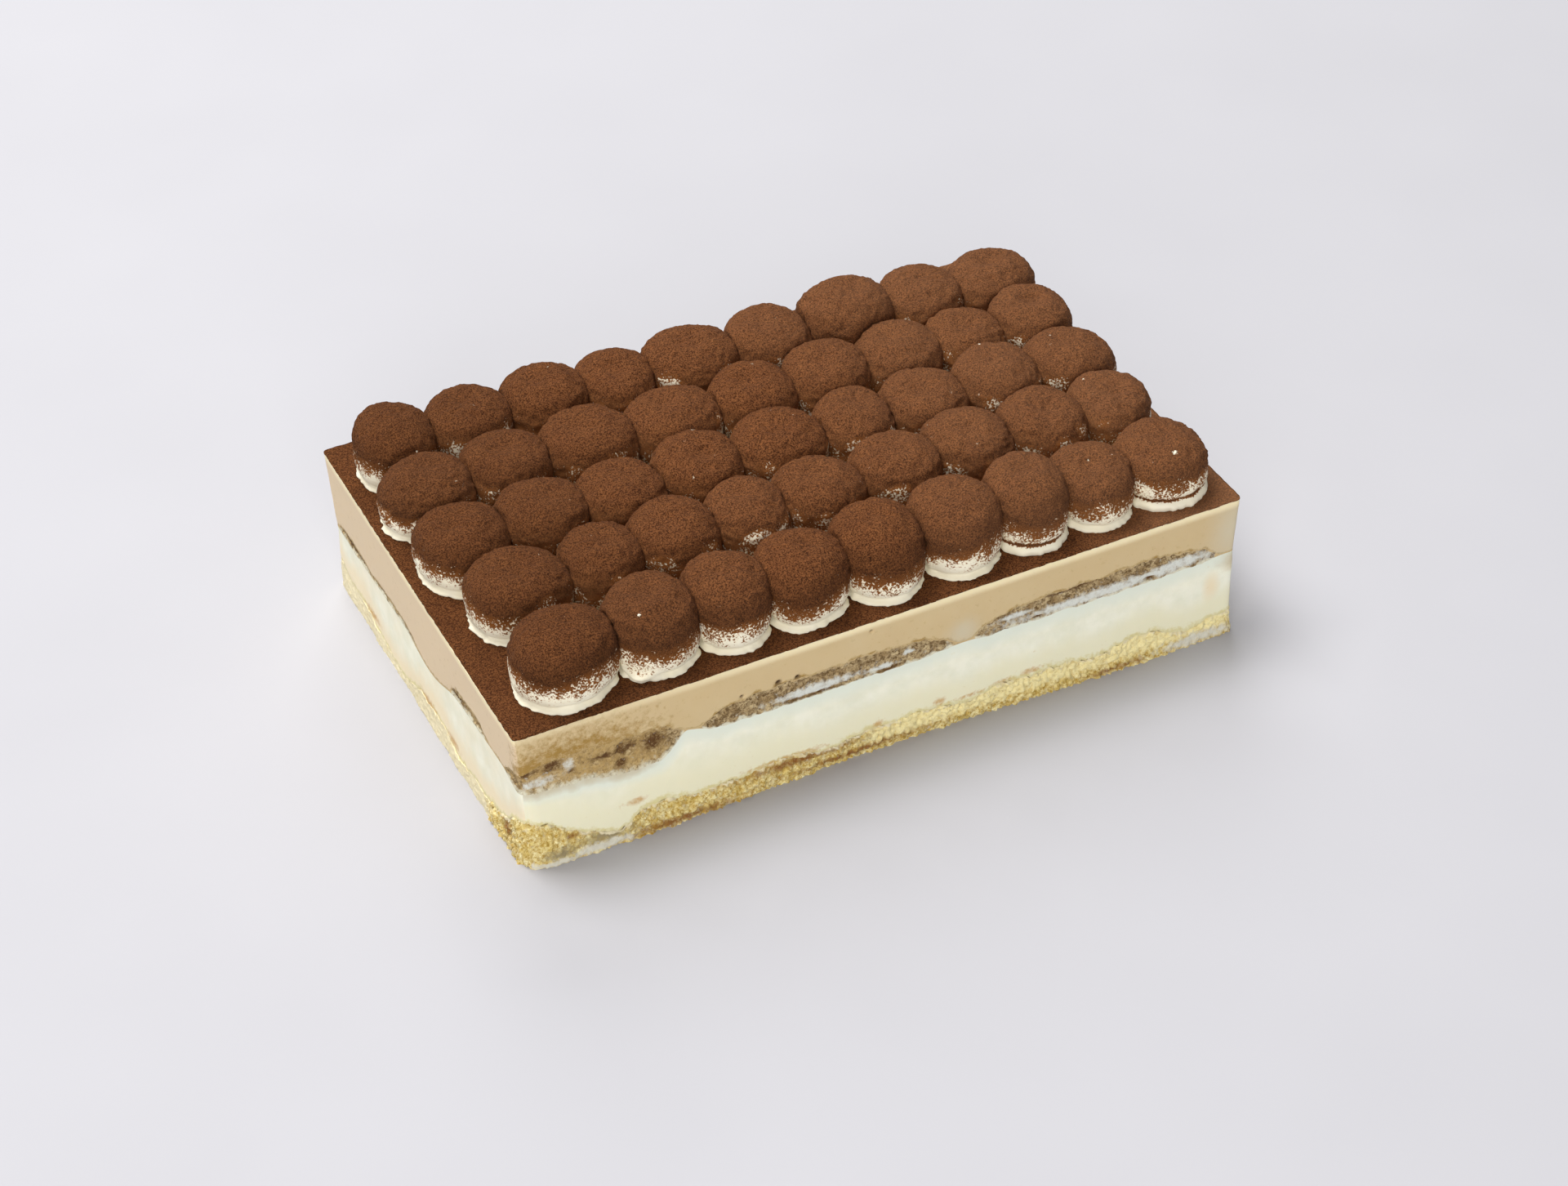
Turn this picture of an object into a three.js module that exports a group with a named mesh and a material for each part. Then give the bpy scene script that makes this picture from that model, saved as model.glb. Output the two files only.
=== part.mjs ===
import * as THREE from 'three';

// A tiramisu ice cream cake: a block of layers with five rows of piped cream domes on top, all
// of it dusted with cocoa. Millimetres, +Z up. The origin lies under the middle of the block and
// the front long side faces -Y. Places are given from the left end and from the front face.

// Block
const LENGTH = 264;
const WIDTH = 172;
const BLOCK_HEIGHT = 57;
const COCOA_THICKNESS = 0.8;
const TOP_CORNER_RADIUS = 2;
const FOOT_CORNER_RADIUS = 3.5;
const WORN_CORNER_RADIUS = 9; // at the foot of the front left corner
const WAIST = 1.2; // how far the walls draw in halfway up
const FOOT_RECESS = 2.4; // how far the crumbled sponge draws back at the floor
const RECESS_RISE = 9; // height where that ends
const RECESS_REACH = 0.75; // share of a long side that draws back
const LONG_STEPS = 52;
const SHORT_STEPS = 34;
const CORNER_STEPS = 3;
const STRAIGHT_WALL = 1; // bands of facets up a wall
const CURVED_WALL = 2;

// Base sponge: its top edge waves, stands up in the front left corner and dips where the cream
// runs down over it.
const SPONGE_HEIGHT = 10.6;
const SPONGE_WAVES = [
  { length: 47, rise: 0.9 },
  { length: 26, rise: 0.7 },
];
const SPONGE_SWELLS = [
  { left: 0, front: 0, reach: 18, rise: 9 },
  { left: 28, front: 0, reach: 15, rise: -4 },
  { left: 247, front: 0, reach: 13, rise: -3.5 },
  { left: 0, front: 48, reach: 36, rise: -5 },
  { left: 0, front: 118, reach: 55, rise: -6.5 },
];

// Seam where the coffee cream meets the vanilla cream: it rises to a tip in the front face and
// falls toward the back of the left end
const SEAM_HEIGHT = 35;
const SEAM_SWELLS = [
  { left: 57, front: 0, reach: 10, rise: 2.8 },
  { left: 0, front: WIDTH, reach: WIDTH, rise: -9 },
  { left: 0, front: 80, reach: 30, rise: -6 },
];

// Coffee-soaked sponge in the seam: long swells above and below it, smeared thin in between.
// The two sides turned away from the viewer repeat the shown ones, turned half round.
const SMEAR_THICKNESS = 0.6;
const SOAKED_CORE_THICKNESS = 8; // in the middle of the cake
const SHOWN_SPONGE_STRIPS = [
  { left: 20, front: 0, reach: 23, above: 8, below: 3.4 },
  { left: 39, front: 0, reach: 15, above: 7.4, below: 7 },
  { left: 109, front: 0, reach: 45.5, above: 7.8, below: 1.2 },
  { left: 210, front: 0, reach: 46.5, above: 7.6, below: 1.2 },
  { left: 0, front: 45, reach: 16, above: 4, below: 0.6 },
  { left: 0, front: 115, reach: 22, above: 1.6, below: 0.6 },
  { left: 0, front: 154, reach: 15, above: 3, below: 0.6 },
];

// Rows of domes, by how far they lie behind the front face at the left and at the right end. The
// rows from the second to the last are evenly spaced, and the domes of a row fill its run.
const FRONT_ROW = { atLeft: 20, atRight: 21 };
const SECOND_ROW = { atLeft: 57, atRight: 54 };
const LAST_ROW = { atLeft: 150, atRight: 138 };
const ROW_COUNT = 5;
const DOMES_IN_ROW = 9;
const FRONT_ROWS = 2; // rows that start further in than the others
const FRONT_ROWS_START = 26.5; // middle of the first dome in such a row
const BACK_ROWS_START = 19.5;
const ROWS_END = 243.5; // middle of the last dome in a row

// Dome sizes: most are alike, and some stand out as wide, narrow, tall or low
const DOME_DEPTH = 32.4; // front to back
const DOME_WIDTH = 32.4;
const WIDE_DOME_WIDTH = 36.5;
const NARROW_DOME_WIDTH = 29;
const DOME_HEIGHT = 24;
const TALL_DOME_HEIGHT = 27.5;
const LOW_DOME_HEIGHT = 22.5;
const HEIGHT_SPREAD = 1; // how far heights stray from these
const WIDE_DOMES = ['1_1', '2_1', '3_5', '4_3', '4_4', '5_5', '5_7'];
const NARROW_DOMES = ['1_3', '1_7', '1_8', '2_2', '2_4', '2_9', '3_6', '4_8', '4_9', '5_1', '5_4'];
const TALL_DOMES = ['1_1', '1_2', '1_3', '1_4', '1_5', '1_6', '1_7', '5_7'];
const LOW_DOMES = ['1_8', '1_9', '2_9', '3_3', '4_8'];
const DOME_GAP = 0.3; // between two domes pressed together
const DOME_SEGMENTS = 14;
const DOME_LOBES = 0.025; // how far a dome's outline strays from an ellipse
const DOME_LEAN = 1.2; // how far a crown strays from the middle
const SEED = 11;
const RANDOM_FACTOR = 16807;
const RANDOM_MODULUS = 2147483647;

// Upright section of a dome, as shares of its half width and of its height: a thin spread foot,
// the crease above it, the bulge and the rounded crown.
const DOME_SECTION = [
  { reach: 0.93, rise: 0 },
  { reach: 0.96, rise: 0.07 },
  { reach: 0.91, rise: 0.15 },
  { reach: 1, rise: 0.32 },
  { reach: 0.94, rise: 0.58 },
  { reach: 0.77, rise: 0.79 },
  { reach: 0.45, rise: 0.94 },
];

// Colours and sheen of each stuff
const LOOKS = {
  baseSponge: { color: 0xd8c57e, roughness: 0.95 },
  vanillaCream: { color: 0xebe7d6, roughness: 0.5 },
  soakedSponge: { color: 0x8c7658, roughness: 0.85 },
  coffeeCream: { color: 0xccb28a, roughness: 0.55 },
  cocoa: { color: 0x6d4530, roughness: 1 },
  dustedCream: { color: 0x7d523a, roughness: 1 },
};

const QUARTER_TURN = Math.PI / 2;
const FULL_TURN = Math.PI * 2;
const ORIGIN = new THREE.Vector2(0, 0);

// Repeatable random numbers from 0 to 1
function seededRandom(seed) {
  let state = seed;
  return () => {
    state = (state * RANDOM_FACTOR) % RANDOM_MODULUS;
    return state / RANDOM_MODULUS;
  };
}

const random = seededRandom(SEED);

// Falls smoothly from 1 in the middle to 0 at a distance of 1 and beyond
function bell(distance) {
  const within = Math.min(Math.abs(distance), 1);
  return (1 + Math.cos(Math.PI * within)) / 2;
}

// Half of a flat bar with rounded ends: nearly 1 inside, and 0 from a distance of 1 on
function bar(distance) {
  return Math.sqrt(Math.max(0, 1 - distance ** 4));
}

// Closed solid from rings of equal count, lowest first, each counter-clockwise seen from above,
// with a point under the lowest ring and one over the highest
function ringSolid(rings, footPoint, crownPoint) {
  const count = rings[0].length;
  const points = [footPoint, ...rings.flat(), crownPoint];
  const crown = points.length - 1;
  const corner = (ring, place) => 1 + ring * count + (place % count);
  const top = rings.length - 1;
  const triangles = [];
  for (let place = 0; place < count; place += 1) {
    triangles.push(0, corner(0, place + 1), corner(0, place));
    for (let ring = 0; ring < top; ring += 1) {
      const here = corner(ring, place);
      const next = corner(ring, place + 1);
      const above = corner(ring + 1, place);
      const aboveNext = corner(ring + 1, place + 1);
      triangles.push(here, next, aboveNext);
      triangles.push(here, aboveNext, above);
    }
    triangles.push(crown, corner(top, place), corner(top, place + 1));
  }
  const solid = new THREE.BufferGeometry().setFromPoints(points);
  solid.setIndex(triangles);
  solid.computeVertexNormals();
  return solid;
}

function namedMesh(name, solid, look) {
  const mesh = new THREE.Mesh(solid, new THREE.MeshStandardMaterial({ ...look, metalness: 0 }));
  mesh.name = name;
  return mesh;
}

// Stations round the block, counter-clockwise from the front left corner. Each lies on a side,
// at a share of the way along it from -1 to 1, and past its end turns round the corner.
function rimStations() {
  const stations = [];
  for (let side = 0; side < 4; side += 1) {
    const steps = side % 2 === 0 ? LONG_STEPS : SHORT_STEPS;
    for (let step = 0; step <= steps; step += 1) {
      stations.push({ side, along: (2 * step) / steps - 1, turn: 0 });
    }
    for (let step = 1; step < CORNER_STEPS; step += 1) {
      stations.push({ side, along: 1, turn: (QUARTER_TURN * step) / CORNER_STEPS });
    }
  }
  return stations;
}

// Inset of the wall from its upright at a height: the waist and, low on the long sides, the recess
function wallInset(station, height) {
  const rise = height / BLOCK_HEIGHT;
  const waist = WAIST * 4 * rise * (1 - rise);
  const onLongSide = station.side % 2 === 0;
  const recess = onLongSide ? FOOT_RECESS * bell(station.along / RECESS_REACH) : 0;
  return waist + recess * Math.max(0, 1 - height / RECESS_RISE);
}

// Radius of the block's corners at the floor, seen from a station: larger toward the worn corner
function footRadius(station) {
  const along = (1 + station.along) / 2;
  const towardWorn = [1 - along, 0, 0, along][station.side];
  return THREE.MathUtils.lerp(FOOT_CORNER_RADIUS, WORN_CORNER_RADIUS, towardWorn);
}

// Point of the wall at a station and height
function wallPoint(station, height) {
  const rise = height / BLOCK_HEIGHT;
  const radius = THREE.MathUtils.lerp(footRadius(station), TOP_CORNER_RADIUS, rise);
  const onLongSide = station.side % 2 === 0;
  const halfRun = (onLongSide ? LENGTH : WIDTH) / 2 - radius;
  const halfDepth = (onLongSide ? WIDTH : LENGTH) / 2 - radius;
  const facing = QUARTER_TURN * (station.side - 1);
  const outward = new THREE.Vector2(Math.cos(facing), Math.sin(facing));
  const onward = new THREE.Vector2(-outward.y, outward.x);
  const normal = outward.clone().rotateAround(ORIGIN, station.turn);
  const place = outward.multiplyScalar(halfDepth);
  place.addScaledVector(onward, halfRun * station.along);
  place.addScaledVector(normal, radius - wallInset(station, height));
  return new THREE.Vector3(place.x, place.y, height);
}

// How far a point of the wall lies from a swell's middle, in the swell's own reach
function swellDistance(point, swell) {
  const left = point.x + LENGTH / 2;
  const front = point.y + WIDTH / 2;
  return Math.hypot(left - swell.left, front - swell.front) / swell.reach;
}

function sumOfSwells(point, swells) {
  return swells.reduce((sum, swell) => sum + swell.rise * bell(swellDistance(point, swell)), 0);
}

function spongeTop(station) {
  const point = wallPoint(station, BLOCK_HEIGHT);
  const wave = ({ length, rise }) => rise * Math.sin((FULL_TURN * (point.x + point.y)) / length);
  const waves = SPONGE_WAVES.reduce((sum, one) => sum + wave(one), 0);
  return SPONGE_HEIGHT + waves + sumOfSwells(point, SPONGE_SWELLS);
}

const turnedStrips = SHOWN_SPONGE_STRIPS.map((strip) => {
  return { ...strip, left: LENGTH - strip.left, front: WIDTH - strip.front };
});
const spongeStrips = [...SHOWN_SPONGE_STRIPS, ...turnedStrips];

// Edge of the soaked sponge: its top with side 'above', its underside with side 'below'
function soakedEdge(station, side) {
  const point = wallPoint(station, BLOCK_HEIGHT);
  const seam = SEAM_HEIGHT + sumOfSwells(point, SEAM_SWELLS);
  const swells = spongeStrips.map((strip) => strip[side] * bar(swellDistance(point, strip)));
  const away = SMEAR_THICKNESS / 2 + Math.max(...swells);
  return side === 'above' ? seam + away : seam - away;
}

// Layer between two edges that run round the block, its wall in a number of bands
function layer(name, look, lowerEdge, upperEdge, bands) {
  const stations = rimStations();
  const rings = [];
  for (let band = 0; band <= bands; band += 1) {
    const heightAt = (station) =>
      THREE.MathUtils.lerp(lowerEdge.at(station), upperEdge.at(station), band / bands);
    rings.push(stations.map((station) => wallPoint(station, heightAt(station))));
  }
  const footPoint = new THREE.Vector3(0, 0, lowerEdge.middle);
  const crownPoint = new THREE.Vector3(0, 0, upperEdge.middle);
  return namedMesh(name, ringSolid(rings, footPoint, crownPoint), look);
}

function levelEdge(height) {
  return { at: () => height, middle: height };
}

// The value that holds for a dome: of its first kind that lists the dome, or else the usual one
function sizeOf(label, kinds, usual) {
  const kind = kinds.find(({ labels }) => labels.includes(label));
  return kind ? kind.size : usual;
}

function domeWidth(label) {
  const wide = { labels: WIDE_DOMES, size: WIDE_DOME_WIDTH };
  const narrow = { labels: NARROW_DOMES, size: NARROW_DOME_WIDTH };
  return sizeOf(label, [wide, narrow], DOME_WIDTH);
}

function domeHeight(label) {
  const tall = { labels: TALL_DOMES, size: TALL_DOME_HEIGHT };
  const low = { labels: LOW_DOMES, size: LOW_DOME_HEIGHT };
  return sizeOf(label, [tall, low], DOME_HEIGHT) + HEIGHT_SPREAD * (2 * random() - 1);
}

// Distance of a row behind the front face, at a share of the way from the left end to the right
function rowFront(row, share) {
  const back = Math.max(0, row - 1) / (ROW_COUNT - 2);
  const atLeft = THREE.MathUtils.lerp(SECOND_ROW.atLeft, LAST_ROW.atLeft, back);
  const atRight = THREE.MathUtils.lerp(SECOND_ROW.atRight, LAST_ROW.atRight, back);
  const line = row === 0 ? FRONT_ROW : { atLeft, atRight };
  return THREE.MathUtils.lerp(line.atLeft, line.atRight, share);
}

// One row of domes in their places, in the block's own coordinates. The domes are as far apart
// as their widths ask for, drawn together so that the row fits its run.
function layOutRow(row) {
  const labels = Array.from({ length: DOMES_IN_ROW }, (_, place) => `${row + 1}_${place + 1}`);
  const widths = labels.map(domeWidth);
  const steps = widths.map((width, place) => (place > 0 ? (widths[place - 1] + width) / 2 : 0));
  const start = row < FRONT_ROWS ? FRONT_ROWS_START : BACK_ROWS_START;
  const press = (ROWS_END - start) / steps.reduce((sum, step) => sum + step, 0);
  let left = start;
  return labels.map((label, place) => {
    left += press * steps[place];
    const front = rowFront(row, left / LENGTH);
    return {
      name: `dome_${label}`,
      middle: new THREE.Vector2(left - LENGTH / 2, front - WIDTH / 2),
      halfWidth: widths[place] / 2,
      halfDepth: DOME_DEPTH / 2,
      height: domeHeight(label),
    };
  });
}

// Distance from a dome's middle to its elliptical outline in a direction
function outlineReach(dome, angle) {
  const across = dome.halfDepth * Math.cos(angle);
  const along = dome.halfWidth * Math.sin(angle);
  return (dome.halfWidth * dome.halfDepth) / Math.hypot(across, along);
}

// Upright planes that a dome is pressed flat against, one toward each neighbour
function pressPlanes(dome, domes) {
  const neighbours = domes.filter((other) => other !== dome);
  return neighbours.map((other) => {
    const toward = other.middle.clone().sub(dome.middle);
    const ownReach = outlineReach(dome, toward.angle());
    const otherReach = outlineReach(other, toward.angle() + Math.PI);
    const share = ownReach / (ownReach + otherReach);
    const distance = toward.length() * share - DOME_GAP / 2;
    return { normal: toward.normalize(), distance };
  });
}

// Moves a point, given from the dome's middle, back to the planes it lies beyond
function holdBehind(point, planes) {
  for (const plane of [...planes, ...planes]) {
    const beyond = point.dot(plane.normal) - plane.distance;
    if (beyond > 0) {
      point.addScaledVector(plane.normal, -beyond);
    }
  }
  return point;
}

function domeMesh(dome, domes) {
  const planes = pressPlanes(dome, domes);
  const twoLobePhase = FULL_TURN * random();
  const threeLobePhase = FULL_TURN * random();
  const leanAngle = FULL_TURN * random();
  const lean = new THREE.Vector2(Math.cos(leanAngle), Math.sin(leanAngle));
  lean.multiplyScalar(DOME_LEAN * random());
  const place = (planPoint, rise) => {
    const plan = planPoint.add(dome.middle);
    return new THREE.Vector3(plan.x, plan.y, BLOCK_HEIGHT + rise * dome.height);
  };
  const rings = DOME_SECTION.map(({ reach, rise }) => {
    return Array.from({ length: DOME_SEGMENTS }, (_, segment) => {
      const angle = (FULL_TURN * segment) / DOME_SEGMENTS;
      const lobes = Math.cos(2 * angle + twoLobePhase) + Math.cos(3 * angle + threeLobePhase);
      const radius = outlineReach(dome, angle) * reach * (1 + DOME_LOBES * lobes);
      const plan = new THREE.Vector2(radius * Math.cos(angle), radius * Math.sin(angle));
      plan.addScaledVector(lean, rise * rise);
      return place(holdBehind(plan, planes), rise);
    });
  });
  const footPoint = place(new THREE.Vector2(), 0);
  const crownPoint = place(lean.clone(), 1);
  return namedMesh(dome.name, ringSolid(rings, footPoint, crownPoint), LOOKS.dustedCream);
}

const floorEdge = levelEdge(0);
const spongeEdge = { at: spongeTop, middle: SPONGE_HEIGHT };
const soakedUnder = {
  at: (station) => soakedEdge(station, 'below'),
  middle: SEAM_HEIGHT - SOAKED_CORE_THICKNESS / 2,
};
const soakedOver = {
  at: (station) => soakedEdge(station, 'above'),
  middle: SEAM_HEIGHT + SOAKED_CORE_THICKNESS / 2,
};
const cocoaUnder = levelEdge(BLOCK_HEIGHT - COCOA_THICKNESS);
const cocoaOver = levelEdge(BLOCK_HEIGHT);

const cake = new THREE.Group();
cake.name = 'tiramisu_ice_cream_cake';
cake.add(layer('base_sponge', LOOKS.baseSponge, floorEdge, spongeEdge, CURVED_WALL));
cake.add(layer('vanilla_cream', LOOKS.vanillaCream, spongeEdge, soakedUnder, STRAIGHT_WALL));
cake.add(layer('soaked_sponge', LOOKS.soakedSponge, soakedUnder, soakedOver, STRAIGHT_WALL));
cake.add(layer('coffee_cream', LOOKS.coffeeCream, soakedOver, cocoaUnder, CURVED_WALL));
cake.add(layer('cocoa_top', LOOKS.cocoa, cocoaUnder, cocoaOver, STRAIGHT_WALL));
const domes = Array.from({ length: ROW_COUNT }, (_, row) => layOutRow(row)).flat();
domes.forEach((dome) => cake.add(domeMesh(dome, domes)));

export default cake;
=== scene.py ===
# %% [markdown]
# # A tiramisu ice cream cake
# The cake is a block of five layers with 45 piped domes of cream on top, all sifted over with cocoa.
# Its solids come ready made and stay where they are. This lesson gives each of them a finer piece
# with the crumb, the smears and the powder of the real cake. Blender counts in metres. Sizes here are
# written in millimetres, and are multiplied by MM where they meet Blender.

# %% Load the solids of the cake
import math
from collections import namedtuple

import bmesh
import bpy
import numpy as np
from mathutils import Matrix, Vector, noise
from mathutils.bvhtree import BVHTree


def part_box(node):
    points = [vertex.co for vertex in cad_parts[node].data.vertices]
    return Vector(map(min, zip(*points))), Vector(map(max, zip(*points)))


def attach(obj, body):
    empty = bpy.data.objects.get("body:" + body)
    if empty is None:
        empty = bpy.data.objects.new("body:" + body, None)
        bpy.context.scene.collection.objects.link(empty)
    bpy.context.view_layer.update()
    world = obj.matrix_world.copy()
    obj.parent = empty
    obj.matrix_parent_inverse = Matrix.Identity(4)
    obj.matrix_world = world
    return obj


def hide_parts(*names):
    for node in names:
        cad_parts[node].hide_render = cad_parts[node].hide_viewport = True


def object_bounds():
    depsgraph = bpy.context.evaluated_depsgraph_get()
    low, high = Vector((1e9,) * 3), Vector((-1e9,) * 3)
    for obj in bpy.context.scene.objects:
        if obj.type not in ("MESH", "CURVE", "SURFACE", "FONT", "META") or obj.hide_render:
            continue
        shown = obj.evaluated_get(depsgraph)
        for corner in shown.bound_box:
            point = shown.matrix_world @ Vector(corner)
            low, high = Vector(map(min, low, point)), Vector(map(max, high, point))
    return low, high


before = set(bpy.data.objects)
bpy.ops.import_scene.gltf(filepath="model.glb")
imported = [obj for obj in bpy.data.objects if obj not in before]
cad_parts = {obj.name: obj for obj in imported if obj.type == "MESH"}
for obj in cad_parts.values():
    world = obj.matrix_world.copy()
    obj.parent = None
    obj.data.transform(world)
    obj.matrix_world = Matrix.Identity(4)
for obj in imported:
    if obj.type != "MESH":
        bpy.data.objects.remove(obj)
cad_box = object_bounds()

MM = 0.001
LENGTH, WIDTH, HEIGHT = (cad_box[1] - cad_box[0]) / MM
print(f"{len(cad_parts)} solids in a box of {LENGTH:.0f} x {WIDTH:.0f} x {HEIGHT:.0f} mm")

# %% [markdown]
# ## The camera
# The picture was taken from the front left and from well above, with a long lens that keeps the far
# domes nearly as large as the near ones. A camera is easy to place by where it looks, from which side
# and from how far. The last turn is the small tilt of a camera held by hand.

# %% Place the camera
AIM = Vector((-25.6, -59.2, 57)) * MM
DISTANCE = 1100 * MM
AZIMUTH = math.radians(-24.8)
ELEVATION = math.radians(38.8)
TILT = math.radians(-2.0)
LENS, SENSOR = 77.8, 36  # millimetres, which is what Blender takes here

camera = bpy.data.objects.new("camera", bpy.data.cameras.new("camera"))
camera.data.lens = LENS
camera.data.sensor_width = SENSOR
backward = Vector((math.sin(AZIMUTH), -math.cos(AZIMUTH), math.tan(ELEVATION))).normalized()
turn = (-backward).to_track_quat("-Z", "Y").to_matrix() @ Matrix.Rotation(TILT, 3, "Z")
camera.matrix_world = Matrix.LocRotScale(AIM + backward * DISTANCE, turn, None)
bpy.context.scene.collection.objects.link(camera)
bpy.context.scene.camera = camera
print(f"camera {DISTANCE / MM:.0f} mm from its aim")

# %% [markdown]
# ## Nodes and colours
# Every material here is a small tree of nodes. One function adds a node: its options are named
# arguments, and each input gets a value or the output of another node. Colours are written as the
# hex values that a colour picker shows, and are turned to the linear values that light adds up in.


# %% Helpers for materials
def linear(hex_colour):
    """Linear red, green, blue and alpha of an sRGB hex colour."""
    parts = [int(hex_colour[i : i + 2], 16) / 255 for i in (1, 3, 5)]
    return [p / 12.92 if p <= 0.04045 else ((p + 0.055) / 1.055) ** 2.4 for p in parts] + [1.0]


def add_node(tree, kind, inputs=None, **options):
    """A new node with its options set, and each input filled with a value or a link."""
    node = tree.nodes.new(kind)
    for name, value in options.items():
        setattr(node, name, value)
    for name, value in (inputs or {}).items():
        if isinstance(value, bpy.types.NodeSocket):
            tree.links.new(value, node.inputs[name])
        else:
            node.inputs[name].default_value = value
    return node


def new_material(name, constants):
    """A material, its tree, the place on the object, and the shader with its constant inputs set."""
    material = bpy.data.materials.new(name)
    material.use_nodes = True
    tree = material.node_tree
    shader = tree.nodes["Principled BSDF"]
    for socket, value in constants.items():
        shader.inputs[socket].default_value = value
    place = add_node(tree, "ShaderNodeTexCoord").outputs["Object"]
    return material, tree, place, shader


# A Mix node keeps sockets for each kind of value, so colours go in and out by number.
MIX_FACTOR, MIX_FROM, MIX_TO, MIXED = 0, 6, 7, 2


def lay_coats(tree, ground, coats):
    """Lays coats of colour over a ground, each only as far as its share goes."""
    for share, colour in coats:
        sockets = {MIX_FACTOR: share, MIX_FROM: ground, MIX_TO: colour}
        ground = add_node(tree, "ShaderNodeMix", sockets, data_type="RGBA").outputs[MIXED]
    return ground


def per_mm(size):
    """Texture scale that makes a pattern about this many millimetres large."""
    return 1 / (size * MM)


print("colour check:", [round(c, 3) for c in linear("#808080")])

# %% [markdown]
# ## Floor and light
# The cake stands in a pale studio with one large soft light above and to the left, one in front to
# fill the shadows and one behind. The floor is matt paper. A sky of even grey stands for the walls,
# so that no side of the cake goes black.

# %% Floor
PAPER, PAPER_CLOUD = "#B6B5B9", "#BBBABE"
PAPER_CLOUD_SIZE = 90
FLOOR_SIZE = 6000


def backdrop_paper():
    """Matt paper, pressed smooth: no gloss, only the faintest unevenness of tone."""
    material, tree, place, shader = new_material("backdrop_paper_matt", {"Roughness": 0.95})
    soft = {"Vector": place, "Scale": per_mm(PAPER_CLOUD_SIZE), "Detail": 2.0}
    cloud = add_node(tree, "ShaderNodeTexNoise", soft)
    tone = lay_coats(tree, linear(PAPER), [(cloud.outputs["Fac"], linear(PAPER_CLOUD))])
    tree.links.new(tone, shader.inputs["Base Color"])
    return material


sheet = bmesh.new()
bmesh.ops.create_grid(sheet, x_segments=1, y_segments=1, size=FLOOR_SIZE * MM / 2)
floor_mesh = bpy.data.meshes.new("floor")
sheet.to_mesh(floor_mesh)
sheet.free()
floor_mesh.materials.append(backdrop_paper())
floor = bpy.data.objects.new("floor", floor_mesh)
bpy.context.scene.collection.objects.link(floor)
print(f"floor {FLOOR_SIZE / 1000:.0f} m wide")

# %% Lights
WALL_GREY, WALL_LIGHT = "#E9E9EB", 0.27


def softbox(name, place, size, watts):
    """A square light that faces the middle of the cake."""
    light = bpy.data.objects.new(name, bpy.data.lights.new(name, "AREA"))
    light.data.size = size * MM
    light.data.energy = watts
    light.location = Vector(place) * MM
    light.rotation_mode = "QUATERNION"
    light.rotation_quaternion = (-light.location).to_track_quat("-Z", "Y")
    bpy.context.scene.collection.objects.link(light)


softbox("key_light", place=(-700, 700, 2500), size=1500, watts=76)
softbox("front_fill", place=(-900, -1800, 900), size=1400, watts=30)
softbox("back_light", place=(500, 1700, 1500), size=1200, watts=22)
world = bpy.data.worlds.new("studio_walls")
world.use_nodes = True
walls = world.node_tree.nodes["Background"]
walls.inputs["Color"].default_value = linear(WALL_GREY)
walls.inputs["Strength"].default_value = WALL_LIGHT
bpy.context.scene.world = world
bpy.context.scene.view_settings.view_transform = "Standard"
print("three soft lights and a grey room")

# %% [markdown]
# ## Cocoa powder
# Cocoa is a matt brown powder of dark and light grains. Sifted, it lies in soft patches of tone on a
# bed that is crackled like velvet. One noise gives the grains, a larger one the patches and a ridged
# one the crackle. The grain of real cocoa is too fine to show, so it is drawn half a millimetre large.

# %% Colour of the cocoa
GRAIN, PATCH, RIDGE = 0.52, 7, 2.4  # millimetres, as all sizes of patterns are
COCOA_DARK, COCOA_MID, COCOA_LIGHT = "#3B200F", "#7B4A2A", "#986036"
# The first colour darkens the powder, as painted shade and at the left end; the second is painted light
# low between the domes; the third is paler powder.
COCOA_RETONES = {"painted_shade_and_darker_end": "#3A1F0A", "gathered_and_painted_light": "#BD8250", "pale": "#B98A66"}
GRAIN_SPREAD = {"From Min": 0.42, "From Max": 0.58}  # noise between the dark and the light grains
RIDGE_SHARE = 0.6  # height of the crackle next to that of the grains
POWDER_RELIEF = {"Strength": 1.0, "Distance": 0.6 * MM}


def cocoa_tone(tree, place):
    """Colour and height of cocoa powder: dark and light grains in soft patches, on a crackled bed."""
    fine = {"Vector": place, "Scale": per_mm(GRAIN), "Detail": 4.0, "Roughness": 0.8}
    grain = add_node(tree, "ShaderNodeTexNoise", fine)
    patch = add_node(tree, "ShaderNodeTexNoise", {"Vector": place, "Scale": per_mm(PATCH), "Detail": 3.0})
    spread = add_node(tree, "ShaderNodeMapRange", {"Value": grain.outputs["Fac"], **GRAIN_SPREAD})
    light = lay_coats(tree, linear(COCOA_MID), [(patch.outputs["Fac"], linear(COCOA_LIGHT))])
    tone = lay_coats(tree, linear(COCOA_DARK), [(spread.outputs["Result"], light)])
    crackle = {"Vector": place, "Scale": per_mm(RIDGE), "Detail": 3.0}
    ridge = add_node(tree, "ShaderNodeTexNoise", crackle, noise_type="RIDGED_MULTIFRACTAL")
    heights = {0: ridge.outputs["Fac"], 1: RIDGE_SHARE, 2: grain.outputs["Fac"]}
    height = add_node(tree, "ShaderNodeMath", heights, operation="MULTIPLY_ADD")
    return tone, height.outputs["Value"]


def retoned(tree, powder, names):
    """Powder recoloured by attributes: painted shade and darker ends, painted light, and paler powder."""
    coats = []
    for name in names:
        retone = add_node(tree, "ShaderNodeAttribute", attribute_name=name)
        coats.append((retone.outputs["Fac"], linear(COCOA_RETONES[name])))
    return lay_coats(tree, powder, coats)


print("powder may be", ", ".join(COCOA_RETONES))

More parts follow.
